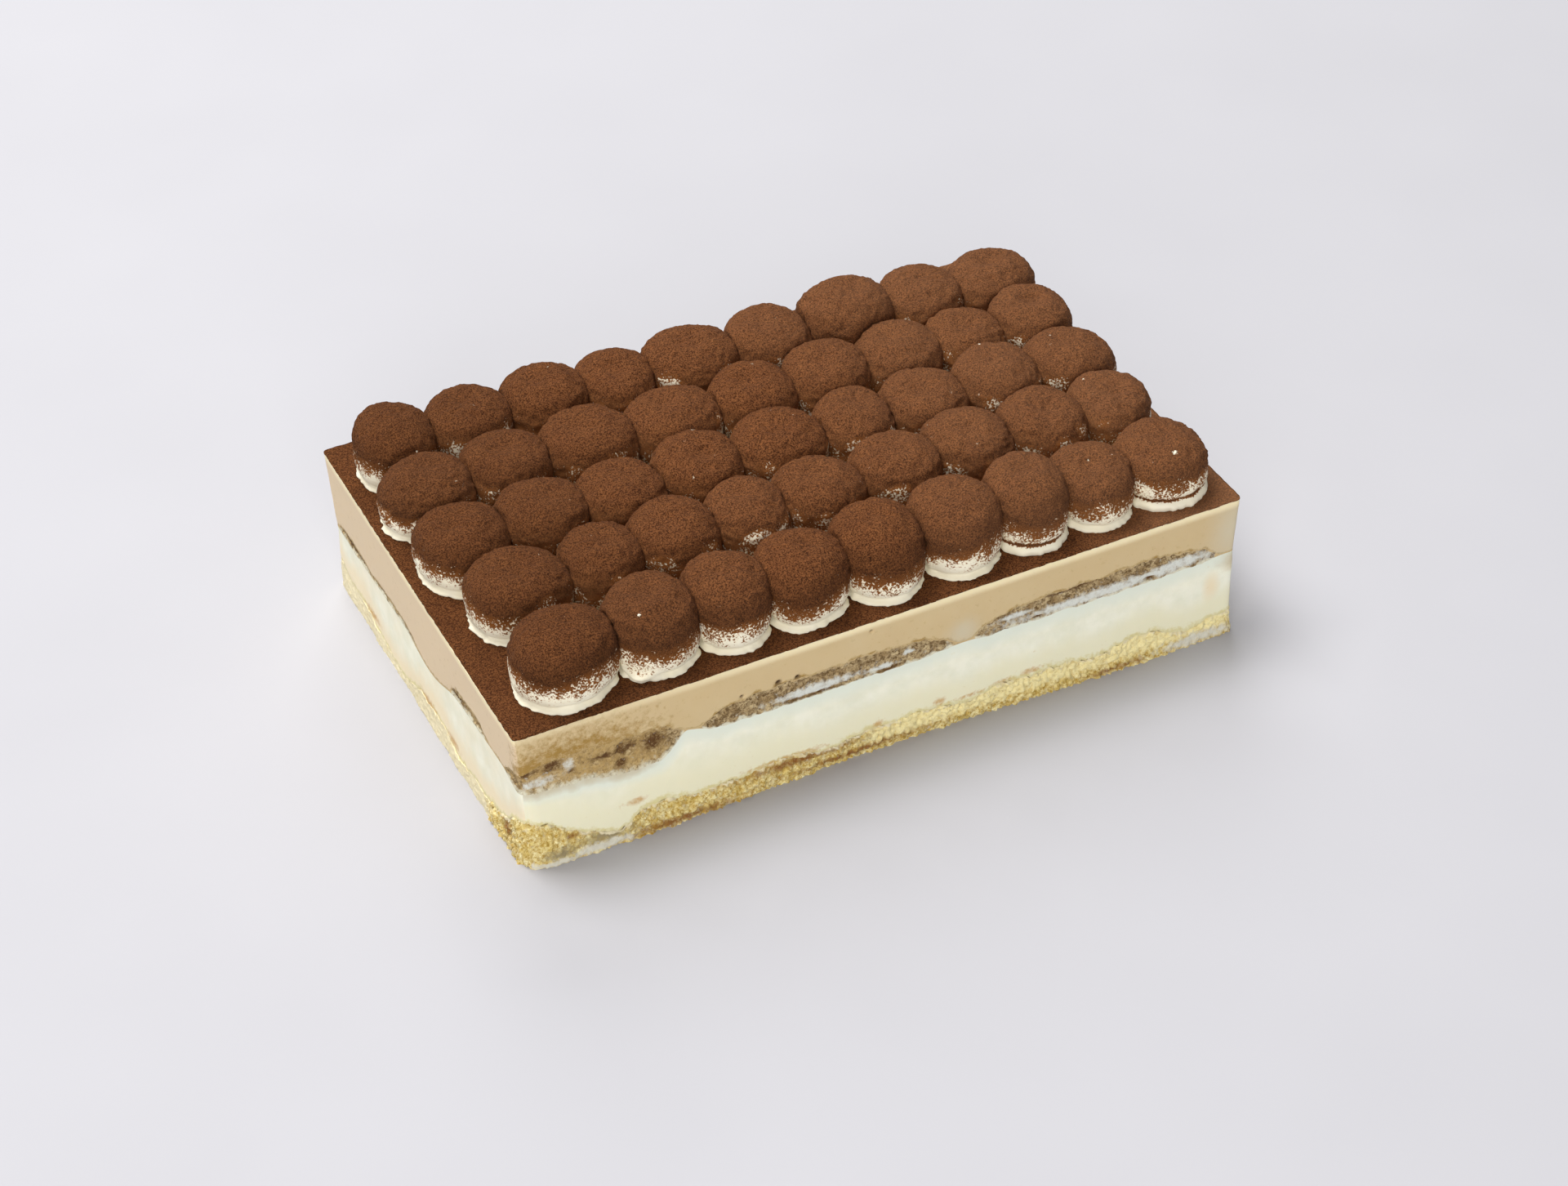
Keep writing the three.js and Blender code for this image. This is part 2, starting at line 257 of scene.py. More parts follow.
# %% [markdown]
# ## Cocoa on cream
# The domes are whipped cream, matt and ivory. Cocoa was sifted on from above, so it lies thick on what
# faces up, thins to single specks where a side turns upright, and leaves the foot bare. Each dome
# carries an attribute called dust, which says how much powder a point has caught. The material adds
# fine noise to it and cuts the sum off, so the edge breaks up into specks instead of a soft gradient.
# A few chips, in clusters, show the cream through the powder.

# %% Cover of the powder
SPECK, CLUMP = 0.75, 3
SPECK_PULL, CLUMP_PULL = 3.0, 1.0  # how much each noise adds to the dust
FILM_EDGE = {"From Min": 2.15, "From Max": 2.55}  # the sum where a thin film starts and is whole
SIFTED_EDGE = {"From Min": 2.43, "From Max": 2.58}  # the same for powder that hides the cream
CHIP_GAP, CHIP_CLUSTER = 7, 16
CHIP_RAGGED, CHIP_GATHERING = 0.5, 0.6  # how much noise shapes the chips and keeps them in clusters
CHIP_EDGE = {"From Min": 0.47, "From Max": 0.54}


def unchipped(tree, place, speck):
    """0 in the chips where powder has flaked off, and 1 elsewhere."""
    spot = add_node(tree, "ShaderNodeTexVoronoi", {"Vector": place, "Scale": per_mm(CHIP_GAP)})
    shape = {0: speck, 1: CHIP_RAGGED, 2: spot.outputs["Distance"]}
    chip = add_node(tree, "ShaderNodeMath", shape, operation="MULTIPLY_ADD")
    cluster = add_node(tree, "ShaderNodeTexNoise", {"Vector": place, "Scale": per_mm(CHIP_CLUSTER)})
    gathering = {0: cluster.outputs["Fac"], 1: CHIP_GATHERING, 2: chip.outputs["Value"]}
    gathered_and_painted_light = add_node(tree, "ShaderNodeMath", gathering, operation="MULTIPLY_ADD")
    edge = add_node(tree, "ShaderNodeMapRange", {"Value": gathered_and_painted_light.outputs["Value"], **CHIP_EDGE})
    return edge.outputs["Result"]


def powder_cover(tree, place, dust):
    """Shares of a thin film of cocoa and of whole powder where a point has caught so much dust."""
    fine = {"Vector": place, "Scale": per_mm(SPECK), "Detail": 3.0, "Roughness": 0.65}
    speck = add_node(tree, "ShaderNodeTexNoise", fine).outputs["Fac"]
    clump = add_node(tree, "ShaderNodeTexNoise", {"Vector": place, "Scale": per_mm(CLUMP), "Detail": 2.0})
    specks = {0: speck, 1: SPECK_PULL, 2: dust}
    uneven = add_node(tree, "ShaderNodeMath", specks, operation="MULTIPLY_ADD")
    clumps = {0: clump.outputs["Fac"], 1: CLUMP_PULL, 2: uneven.outputs["Value"]}
    caught = add_node(tree, "ShaderNodeMath", clumps, operation="MULTIPLY_ADD").outputs["Value"]
    whole = unchipped(tree, place, speck)
    shares = []
    for edge in (FILM_EDGE, SIFTED_EDGE):
        share = add_node(tree, "ShaderNodeMapRange", {"Value": caught, **edge}).outputs["Result"]
        kept = add_node(tree, "ShaderNodeMath", {0: share, 1: whole}, operation="MULTIPLY")
        shares.append(kept.outputs["Value"])
    return shares


print(f"chips about {CHIP_GAP} mm apart, in clusters of {CHIP_CLUSTER} mm")

# %% [markdown]
# What shows in and beside that cover is coloured next. Bare cream is ivory and a little satin. Powder
# is matt, and looks ruddier where it is thin, because light comes back through it from the cream.
# A picture could be painted for each dome, but coats laid by their shares serve all 45 at once.

# %% Material of the domes
CREAM, CREAM_SHADE, CREAM_BLOTCH = "#F8F2DE", "#EFE5C6", 6
COCOA_THIN, COCOA_SPARSE = "#B87B45", "#A5652F"
SPARSE_EDGE = {"From Min": 1.1, "From Max": 0.4, "To Max": 0.75}  # the less dust, the ruddier it is
MATTING = {"To Min": 0.5, "To Max": 0.95}  # roughness of bare cream and of powder


def dusted_cream():
    """Whipped cream, piped and sifted over with cocoa: matt brown powder thinning to ivory."""
    material, tree, place, shader = new_material(
        "whipped_cream_sifted_with_cocoa", {"IOR": 1.4, "Specular IOR Level": 0.18}
    )
    dust = add_node(tree, "ShaderNodeAttribute", attribute_name="dust").outputs["Fac"]
    film, cover = powder_cover(tree, place, dust)
    soft = {"Vector": place, "Scale": per_mm(CREAM_BLOTCH), "Detail": 2.0}
    blotch = add_node(tree, "ShaderNodeTexNoise", soft)
    cream = lay_coats(tree, linear(CREAM), [(blotch.outputs["Fac"], linear(CREAM_SHADE))])
    powder, height = cocoa_tone(tree, place)
    # Painted shade, painted light and paler powder, as the mesh's attributes give them.
    powder = retoned(tree, powder, ("painted_shade_and_darker_end", "gathered_and_painted_light", "pale"))
    sparse = add_node(tree, "ShaderNodeMapRange", {"Value": dust, **SPARSE_EDGE})
    powder = lay_coats(tree, powder, [(sparse.outputs["Result"], linear(COCOA_SPARSE))])
    tone = lay_coats(tree, cream, [(film, linear(COCOA_THIN)), (cover, powder)])
    matt = add_node(tree, "ShaderNodeMapRange", {"Value": cover, **MATTING})
    relief = add_node(tree, "ShaderNodeMath", {0: height, 1: cover}, operation="MULTIPLY")
    bump = add_node(tree, "ShaderNodeBump", {"Height": relief.outputs["Value"], **POWDER_RELIEF})
    tree.links.new(tone, shader.inputs["Base Color"])
    tree.links.new(matt.outputs["Result"], shader.inputs["Roughness"])
    tree.links.new(bump.outputs["Normal"], shader.inputs["Normal"])
    return material


DUSTED_CREAM = dusted_cream()
print("made", DUSTED_CREAM.name)

# %% [markdown]
# ## Piped domes
# A dome is a blob of cream pressed from a round nozzle: a thin foot that spread on the cocoa, a crease
# above it, a bulge and a flattened crown, pushed out of round by its neighbours. Its solid has the right
# outline in flat facets. A fine ball around the same heart is sent out along its own rays until it
# meets the solid, then smoothed, which keeps the outline and loses the facets. Foot, crease and
# unevenness follow as small shifts of its points. They all come from smooth noise, which gives the
# same cake each time.

# %% Helpers for shapes
SEED_SHIFT = Vector((3.1, 7.7, 1.9))  # each seed reads the noise this much further on


def sway(point, size, seed=0):
    """Smooth noise from about -1 to 1 that swings over a size in millimetres."""
    return noise.noise(point * per_mm(size) + SEED_SHIFT * seed)


def ripple(point, waves, seed=0):
    """Noises added up, each with a height, a size in millimetres and a seed of its own."""
    return sum(height * sway(point, size, seed + shift) for height, size, shift in waves)


def bell(distance):
    """1 in the middle, falling off smoothly on both sides."""
    return math.exp(-distance * distance)


def ramp(value, start, end):
    """0 before start, 1 after end, and smooth in between."""
    share = min(1, max(0, (value - start) / (end - start)))
    return share * share * (3 - 2 * share)


def from_left(point):
    """Millimetres from the left end of the cake."""
    return LENGTH / 2 + point.x / MM


def add_piece(work, name, material, nodes):
    """Makes the finished mesh an object that rides with the cake and stands for its solids."""
    for face in work.faces:
        face.smooth = True
    mesh = bpy.data.meshes.new(name)
    work.to_mesh(mesh)
    work.free()
    mesh.materials.append(material)
    piece = bpy.data.objects.new(name, mesh)
    bpy.context.scene.collection.objects.link(piece)
    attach(piece, "root")
    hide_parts(*nodes)
    return piece


print("noise check:", round(sway(Vector((0.01, 0.02, 0.03)), 7), 3))

# %% Shrink a ball onto a dome
DOME_AROUND = 112
DOME_UP = 66
HEART = 0.36  # height of the rays' start, as a share of the dome's height
HIDDEN_RINGS = 1 / 6  # share of the ball's rings that fall on the flat underside
UNDERSIDE_ANGLE = math.radians(-36)
FOOT_DENSITY = 1.2  # above 1, rings lie closer together at the foot than at the crown
FACET_SMOOTHING = 12
QUARTER = math.pi / 2  # a quarter turn


def aim_ring(direction):
    """Turns a ray of the ball so that few rings fall on the underside and the rest on what shows."""
    angle = math.asin(max(-1, min(1, direction.z)))
    edge = -QUARTER + math.pi * HIDDEN_RINGS
    if angle < edge:
        share = (angle + QUARTER) / (edge + QUARTER)
        tilted = -QUARTER + share * (UNDERSIDE_ANGLE + QUARTER)
    else:
        share = ((angle - edge) / (QUARTER - edge)) ** FOOT_DENSITY
        tilted = UNDERSIDE_ANGLE + share * (QUARTER - UNDERSIDE_ANGLE)
    level = Vector((direction.x, direction.y, 0))
    level = level.normalized() if level.length > 1e-6 else Vector((0, 0, 0))
    return level * math.cos(tilted) + Vector((0, 0, math.sin(tilted)))


def heart_of(node):
    """Point inside a dome from which all of its surface can be seen."""
    low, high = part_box(node)
    return Vector(((low.x + high.x) / 2, (low.y + high.y) / 2, low.z + HEART * (high.z - low.z)))


def stretch(ball, low, high):
    """Smoothing draws a ball in, so it is stretched to fill the solid's box again."""
    was_low = Vector([min(vertex.co[i] for vertex in ball.verts) for i in range(3)])
    was_high = Vector([max(vertex.co[i] for vertex in ball.verts) for i in range(3)])
    for vertex in ball.verts:
        for i in range(3):
            share = (vertex.co[i] - was_low[i]) / (was_high[i] - was_low[i])
            vertex.co[i] = low[i] + share * (high[i] - low[i])


def shrink_ball_onto(node):
    """A fine closed mesh on the surface of a dome's solid."""
    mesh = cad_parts[node].data
    skin = BVHTree.FromPolygons([v.co for v in mesh.vertices], [f.vertices for f in mesh.polygons])
    ball = bmesh.new()
    bmesh.ops.create_uvsphere(ball, u_segments=DOME_AROUND, v_segments=DOME_UP, radius=1)
    for vertex in ball.verts:
        vertex.co = skin.ray_cast(hearts[node], aim_ring(vertex.co))[0]
    for _ in range(FACET_SMOOTHING):
        bmesh.ops.smooth_vert(
            ball, verts=ball.verts, factor=0.5, use_axis_x=True, use_axis_y=True, use_axis_z=True
        )
    stretch(ball, *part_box(node))
    return ball


dome_nodes = sorted(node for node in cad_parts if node.startswith("dome_"))
hearts = {node: heart_of(node) for node in dome_nodes}
print(f"{len(hearts)} domes to shape")

# %% [markdown]
# Shaping goes in the order in which the cream moved. First it swells, keeps a dent where the nozzle
# broke away, and is pressed flat against its neighbours with sharp creases between them.

# %% Swell and press a dome
SWELL = 0.5  # millimetres that the sides swell before they press on each other
SAG = 1.5  # millimetres that the crown sinks by its own weight
SHOULDER = 1.1  # millimetres that the sunk cream adds to the sides
SHOULDER_SHARE, SHOULDER_SPREAD = 0.72, 0.2  # where it does so, as shares of the dome's height
DOME_WAVES = ((0.5, 11, 0), (0.22, 4.5, 0))
DENT_DEPTH, DENT_REACH, DENT_STRAY = 2, 5, 6  # millimetres
OWN_NOISE = 5  # millimetres, well under the domes' spacing, so that each has a value of its own
NEIGHBOUR = 42 * MM  # domes whose hearts are this near may touch
CREASE = 0.2 * MM


def own_value(node, seed):
    """A dome's own value, from about -1 to 1."""
    return sway(hearts[node], OWN_NOISE, seed)


def solid_reach(node, away):
    """How far a dome's solid reaches from its heart in a level direction."""
    return max((vertex.co - hearts[node]).dot(away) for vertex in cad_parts[node].data.vertices)


def press_planes(node):
    """Upright planes between a dome and its neighbours, as directions and distances from its heart."""
    planes = []
    for other in dome_nodes:
        toward = (hearts[other] - hearts[node]) * Vector((1, 1, 0))
        if other != node and toward.length < NEIGHBOUR:
            away = toward.normalized()
            ours, theirs = solid_reach(node, away), solid_reach(other, -away)
            planes.append((away, toward.length * ours / (ours + theirs) - CREASE / 2))
    return planes


def swell_and_press(ball, node, seed):
    """Swells the sides, dents the crown, and flattens the dome against its neighbours."""
    heart, planes = hearts[node], press_planes(node)
    low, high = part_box(node)
    stray = Vector((own_value(node, seed + 8), own_value(node, seed + 9), 0)) * DENT_STRAY * MM
    dent_depth = DENT_DEPTH * (1 + own_value(node, seed + 10))
    ball.normal_update()
    for vertex in ball.verts:
        tall = (vertex.co.z - low.z) / (high.z - low.z)
        shoulder = SHOULDER * bell((tall - SHOULDER_SHARE) / SHOULDER_SPREAD)
        fuller = (SWELL + shoulder) * (1 - abs(vertex.normal.z))
        vertex.co += vertex.normal * (fuller + ripple(vertex.co, DOME_WAVES, seed)) * MM
        vertex.co.z -= SAG * MM * tall**4
        off_dent = (vertex.co.xy - heart.xy - stray.xy).length / (DENT_REACH * MM)
        if vertex.co.z > heart.z:
            vertex.co.z -= dent_depth * MM * bell(off_dent)
        for away, distance in planes:
            beyond = (vertex.co - heart).dot(away) - distance
            if beyond > 0:
                vertex.co -= away * beyond


print("first dome is pressed by", len(press_planes(dome_nodes[0])), "others")

# %% [markdown]
# Then the dome spreads its foot: below the bulge its side turns in to a crease, and the cream under that
# runs out to a thin, torn skirt. The reach at a few heights is all that this outline needs. Two domes
# have a second ridge, and one a curl that the nozzle left as it was lifted.

# %% Spread the foot
FOOT_RISE = (0, 0.5, 1.0, 2.0, 3.4, 5.5, 8.0)  # millimetres
FOOT_REACH = (0.95, 0.97, 0.93, 0.87, 0.95, 0.99, 1)  # share of the dome's full reach
DOUBLE_RISE = (0, 0.6, 1.8, 3.0, 3.8, 4.8, 6.4, 9.0)  # the same for a foot with a second ridge
DOUBLE_REACH = (0.98, 1.0, 1.0, 0.95, 0.9, 0.96, 0.995, 1)
DOUBLE_FEET = ("dome_1_7", "dome_1_9")
UNDERSIDE = 0.7  # share of the reach within which the flat underside is left alone
FOOT_WAVES = ((0.5, 9, 0),)  # the crease runs up and down
WAVY_RISE = (0, 2)  # millimetres over which that begins
FOOT_TEETH = ((0.5, 4, 1), (0.7, 1.6, 2))
TORN_RISE = (0.8, 2)  # millimetres over which the torn edge ends
CURLED = "dome_1_2"
CURL_TURN, CURL_SPREAD = math.radians(235), math.radians(17)
CURL_REACH, CURL_RISE, CURL_THICK = 3.6, 2.4, 1.4  # millimetres


def meridian(vertex, heart):
    """Number of the line from foot to crown that a point of the ball lies on."""
    turn = math.atan2(vertex.co.y - heart.y, vertex.co.x - heart.x)
    return round(turn / math.tau * DOME_AROUND) % DOME_AROUND


def spread_foot(ball, node, seed):
    """Turns the bulge under to a crease and spreads a torn foot below it."""
    heart, floor_level = hearts[node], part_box(node)[0].z
    rises, reaches = (DOUBLE_RISE, DOUBLE_REACH) if node in DOUBLE_FEET else (FOOT_RISE, FOOT_REACH)
    full = [0] * DOME_AROUND
    for vertex in ball.verts:
        line = meridian(vertex, heart)
        full[line] = max(full[line], (vertex.co.xy - heart.xy).length)
    for vertex in ball.verts:
        rise = (vertex.co.z - floor_level) / MM
        level = (vertex.co - heart) * Vector((1, 1, 0))
        reach = full[meridian(vertex, heart)]
        if rise > rises[-1] or level.length < UNDERSIDE * reach:
            continue
        level.normalize()
        edge = level * reach
        lifted = rise - ripple(edge, FOOT_WAVES, seed) * ramp(rise, *WAVY_RISE)
        tooth = ripple(edge, FOOT_TEETH, seed) * (1 - ramp(rise, *TORN_RISE))
        out = np.interp(lifted, rises, reaches) * reach + tooth * MM
        if node == CURLED:
            off_curl = (math.atan2(level.y, level.x) - CURL_TURN + math.pi) % math.tau - math.pi
            out += CURL_REACH * MM * bell(off_curl / CURL_SPREAD) * bell((rise - CURL_RISE) / CURL_THICK)
        vertex.co.xy = heart.xy + level.xy * out


print("second ridge on", " and ".join(DOUBLE_FEET))

# %% [markdown]
# The powder then falls on the shaped dome. Near the rim of the cake it leaves the feet bare. Between the
# domes it gathers as it slides off, so the feet there are covered further down, and low there the powder
# is painted paler, as painted light in the shade between the domes. Some of it is rubbed off where
# neighbours meet. The outer sides of the rim domes get a painted shade, the powder is darker along the
# left end, and it is a little paler towards the right end. A sifted layer is lumpy and crackled, so it
# also lifts the surface a little.

# %% How much powder a dome has caught
BARE_RISE = 7.5  # millimetres above the foot where the powder ends, near the rim of the cake
COVERED_RISE = 6.5  # the same, between the domes
RIM_NEAR, RIM_FAR = 14, 34  # millimetres from the rim between which one turns to the other
OWN_RISE = 2.5  # millimetres by which that differs from dome to dome
EDGE_WAVES = ((3, 13, 5),)  # the edge runs up and down
HALF_COVER, FACING_UP = 0.5, 0.3  # cover at the edge on an upright side, and what is more on a level one
FADE = 0.1  # share of the powder's cover that is gained with each millimetre of rise
FULL_COVER, NO_COVER = 1.8, -0.6  # beyond 1 and 0, so that crowns and feet have few stray specks
CLEAN_FOOT = (2.5, 4)  # millimetres of rise over which the foot's own cover begins
THIN, THIN_SIZE, THIN_NOISE, THIN_RISE = 0.4, 6, (0, 0.6), (9, 15)  # thinner patches low on the sides
RUBBED, RUBBED_RANGE, SPECKLED = 0.75, 0.9, 0.42  # cover that a neighbour rubs off, and what it leaves
MARK_RISE, MARK_SPREAD = 14, 4  # millimetres; where it does so
MARK_SIZE, MARK_NOISE, MARK_FACING = 8, (-0.4, 0.4), (0, 0.8)
GROOVE_DUST, GROOVE_RISE, GROOVE_SPREAD = 1.2, 3.8, 0.9  # powder settled between the ridges of a foot


def sheltering(point):
    """0 near the rim of the cake and 1 among the domes."""
    from_rim = min(LENGTH / 2 - abs(point.x) / MM, WIDTH / 2 - abs(point.y) / MM)
    return ramp(from_rim, RIM_NEAR, RIM_FAR)


def dust_caught(vertex, rise, node, seed):
    """How much powder a point of a dome has caught, at its rise in millimetres above the foot."""
    point, normal = vertex.co, vertex.normal
    sheltered = sheltering(point)
    edge = BARE_RISE + sheltered * (COVERED_RISE - BARE_RISE) + ripple(point, EDGE_WAVES, seed)
    edge += OWN_RISE * own_value(node, seed + 11)
    caught = HALF_COVER + FACING_UP * normal.z + FADE * (rise - edge)
    thin = THIN * ramp(sway(point, THIN_SIZE, seed + 7), *THIN_NOISE) * (1 - ramp(rise, *THIN_RISE))
    front = ramp(-normal.y, *MARK_FACING) * ramp(sway(point, MARK_SIZE, seed + 13), *MARK_NOISE)
    rubbed = RUBBED + RUBBED_RANGE * own_value(node, seed + 12)
    mark = rubbed * sheltered * front * bell((rise - MARK_RISE) / MARK_SPREAD)
    mark = min(mark, max(0, caught - SPECKLED))
    caught -= 1 - ramp(rise, *CLEAN_FOOT)
    if node in DOUBLE_FEET:
        caught += GROOVE_DUST * bell((rise - GROOVE_RISE) / GROOVE_SPREAD)
    return min(FULL_COVER, max(NO_COVER, caught)) - thin - mark


print(f"powder ends {BARE_RISE} mm above a foot at the rim, {COVERED_RISE} mm among the domes")

# %% [markdown]
# Besides the amount of powder, each point is told how much painted shade and darkening it gets, how much
# painted light, and how pale it is. All of it is stored on the points of the mesh, where the material
# reads it.

# %% Dust the domes
SIDE_PAINTED_SHADE, SIDE_FACING = 0.3, (-0.1, 0.8)  # share of painted shade on the outer sides of the rim domes, by how they face up
LEFT_DARKER, LEFT_END = 0.24, (30, 100)  # share of darker powder at the left end, and millimetres over which it ends
# share of painted light low among the domes, and millimetres of rise over which it fades
PAINTED_LIGHT_LOW, PAINTED_LIGHT_RISE = 0.5, (5, 18)
RIGHT_PALE, RIGHT_END, OWN_PALE = 0.08, (110, 220), 0.06
LUMP_TOP, CRACKLE_DEPTH, CRACKLE_SIZE = 0.4, 1.1, 3.2  # millimetres
LUMP_WAVES = ((0.2, 1.1, 0),)
DUST_NAMES = ("dust", "painted_shade_and_darker_end", "gathered_and_painted_light", "pale")


def dust_dome(ball, node, seed):
    """Stores how much powder each point has caught, and lays the powder's own thickness on it."""
    ball.normal_update()
    floor_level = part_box(node)[0].z
    for name in DUST_NAMES:
        ball.verts.layers.float.new(name)
    dust, painted_shade_and_darker_end, gathered_and_painted_light, pale = [ball.verts.layers.float[name] for name in DUST_NAMES]
    for vertex in ball.verts:
        sheltered, left = sheltering(vertex.co), from_left(vertex.co)
        rise = (vertex.co.z - floor_level) / MM
        side = 1 - ramp(vertex.normal.z, *SIDE_FACING)
        vertex[dust] = dust_caught(vertex, rise, node, seed)
        # Painted shade on the outer sides of the rim domes, and darker powder towards the left end.
        vertex[painted_shade_and_darker_end] = SIDE_PAINTED_SHADE * side * (1 - sheltered) + LEFT_DARKER * (1 - ramp(left, *LEFT_END))
        # Painted light low among the domes, where their shade falls.
        vertex[gathered_and_painted_light] = PAINTED_LIGHT_LOW * sheltered * (1 - ramp(rise, *PAINTED_LIGHT_RISE))
        vertex[pale] = max(0, RIGHT_PALE * ramp(left, *RIGHT_END) + OWN_PALE * own_value(node, seed + 14))
    for vertex in ball.verts:
        lump = LUMP_TOP - CRACKLE_DEPTH * abs(sway(vertex.co, CRACKLE_SIZE, seed))
        lump += ripple(vertex.co, LUMP_WAVES, seed)
        vertex.co += vertex.normal * min(1, max(0, vertex[dust])) * lump * MM


domes = []
for seed, node in enumerate(dome_nodes):
    ball = shrink_ball_onto(node)
    swell_and_press(ball, node, seed)
    spread_foot(ball, node, seed)
    dust_dome(ball, node, seed)
    domes.append(add_piece(ball, f"{node}_cream", DUSTED_CREAM, [node]))
print(f"{len(domes)} domes of {len(domes[0].data.polygons)} faces each")

# %% [markdown]
# ## Edges of the layers
# The layers show at the block's sides as bands with wavy, torn edges. The edges are read from the
# solids: the points that a layer's top and bottom faces have in common with its wall. They are
# refined to steps of under a millimetre, smoothed, and then frayed with noise. Two layers that meet
# share one frayed edge, so no gap opens between them.

# %% Read and refine the edges
STEPS_BETWEEN = 8
EDGE_SMOOTHING = 3
FACING_LIMIT = 0.5  # a face whose normal rises more than this belongs to the top
CORE = 50 * MM  # points nearer to the middle than this belong to the faces' inside
CUT = math.atan2(WIDTH / 2, 2.4)  # where the count starts: at the back, between two points


def solid_edge(node, facing):
    """Points round a layer's upper (facing 1) or lower (facing -1) edge, in order."""
    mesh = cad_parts[node].data
    found = {}
    for face in mesh.polygons:
        if face.normal.z * facing > FACING_LIMIT:
            for index in face.vertices:
                point = mesh.vertices[index].co
                if point.xy.length > CORE:
                    found[round((math.atan2(point.y, point.x) - CUT) % math.tau, 5)] = tuple(point)
    return np.array([found[angle] for angle in sorted(found)])


def fine_edge(node, facing):
    """The same edge in small steps, with its corners rounded."""
    points = solid_edge(node, facing)
    closed = np.vstack([points, points[:1]])
    steps = np.arange(len(points) * STEPS_BETWEEN) / STEPS_BETWEEN
    edge = np.stack([np.interp(steps, np.arange(len(closed)), closed[:, i]) for i in range(3)], axis=1)
    for _ in range(EDGE_SMOOTHING):
        edge = (np.roll(edge, 1, axis=0) + edge + np.roll(edge, -1, axis=0)) / 3
    return edge


def fray(edge, depth, size, seed, share=1.0):
    """Moves an edge up and down by a depth in millimetres, in teeth of a size in millimetres."""
    waves = ((1, size, 0), (0.6, size / 3, 1))
    teeth = [ripple(Vector(point), waves, seed) for point in edge]
    frayed = edge.copy()
    frayed[:, 2] += depth * MM * np.array(teeth) * share
    return frayed


print(f"{len(solid_edge('base_sponge', 1))} points round a solid")

# %% Fray the edges
WHOLE_STRIP = 6 * MM  # the soaked sponge frays in full where it is at least this tall
THIN_RIM = 0.65 * MM  # the powder on top is this much thinner at the rim than further in

EDGES = {
    "floor": fine_edge("base_sponge", -1),
    "sponge_top": fray(fine_edge("base_sponge", 1), depth=0.9, size=7, seed=11),
    "soaked_under": fine_edge("soaked_sponge", -1),
    "soaked_over": fine_edge("soaked_sponge", 1),
    "coffee_top": fine_edge("coffee_cream", 1),
}
strip = EDGES["soaked_over"][:, 2] - EDGES["soaked_under"][:, 2]
torn = np.clip(strip / WHOLE_STRIP, 0, 1)  # 0 where the two creams nearly meet
# The base is frayed twice, first in large teeth and then in small ones.
EDGES["sponge_top"] = fray(EDGES["sponge_top"], depth=0.8, size=2.4, seed=13)
EDGES["soaked_under"] = fray(EDGES["soaked_under"], depth=0.7, size=6, seed=21, share=torn)
EDGES["soaked_over"] = fray(EDGES["soaked_over"], depth=0.9, size=6, seed=31, share=torn)
EDGES["coffee_top"][:, 2] += THIN_RIM
print(f"{len(EDGES['floor'])} points round the block")

# %% [markdown]
# ## Walls of the layers
# A layer's wall could be carved out of its solid, but its facets are too large for crumbs. Here a flat
# grid is made like a label and wrapped round the block between two edges. Its seam is welded, and
# its open rims are drawn inward and closed. While it is wrapped, each point is pushed in or out by
# the layer's own relief, and gets attributes for its material. What was spilt or torn at one place of
# a wall is written down as a mark: its side, where it lies on it, and how far it goes.

# %% Places on a wall
Mark = namedtuple("Mark", "side along height reach rise")  # millimetres


def side_place(point):
    """Which side a point of the wall is on, and how far along it, from the front left corner.
    The sides turned away repeat the shown ones, turned half round."""
    x, y = point[0] / MM, point[1] / MM
    if WIDTH / 2 - abs(y) < LENGTH / 2 - abs(x):
        return "long", LENGTH / 2 + (x if y < 0 else -x)
    return "short", WIDTH / 2 + (y if x < 0 else -y)


def marked(point, marks):
    """How strongly a point lies in one of the marks, from 0 to 1."""
    side, along = side_place(point)
    height = point[2] / MM
    near = [
        bell((along - mark.along) / mark.reach) * bell((height - mark.height) / mark.rise)
        for mark in marks
        if mark.side == side
    ]
    return max(near, default=0)


print("left end of the front:", side_place((-LENGTH / 2 * MM, -WIDTH / 2 * MM, 0)))

# %% Wrap a wall
CAP_INSET = 0.9  # share of the block's size at which the closing faces begin
WELD = 0.001 * MM


def outward_of(edge):
    """Level directions that point out of the block, one for each point of an edge."""
    ahead = np.roll(edge, -2, axis=0) - np.roll(edge, 2, axis=0)
    away = np.stack([ahead[:, 1], -ahead[:, 0], np.zeros(len(edge))], axis=1)
    return away / np.linalg.norm(away, axis=1, keepdims=True)


def close_rims(band, middle):
    """Draws the open rims of a band inward and fills them."""
    rims = [edge for edge in band.edges if edge.is_boundary]
    for edge in rims:
        edge.smooth = False
    inner = bmesh.ops.extrude_edge_only(band, edges=rims)["geom"]
    for vertex in [item for item in inner if isinstance(item, bmesh.types.BMVert)]:
        vertex.co = middle.lerp(vertex.co, CAP_INSET)
    bmesh.ops.holes_fill(band, edges=[edge for edge in band.edges if edge.is_boundary], sides=0)
    bmesh.ops.recalc_face_normals(band, faces=band.faces)


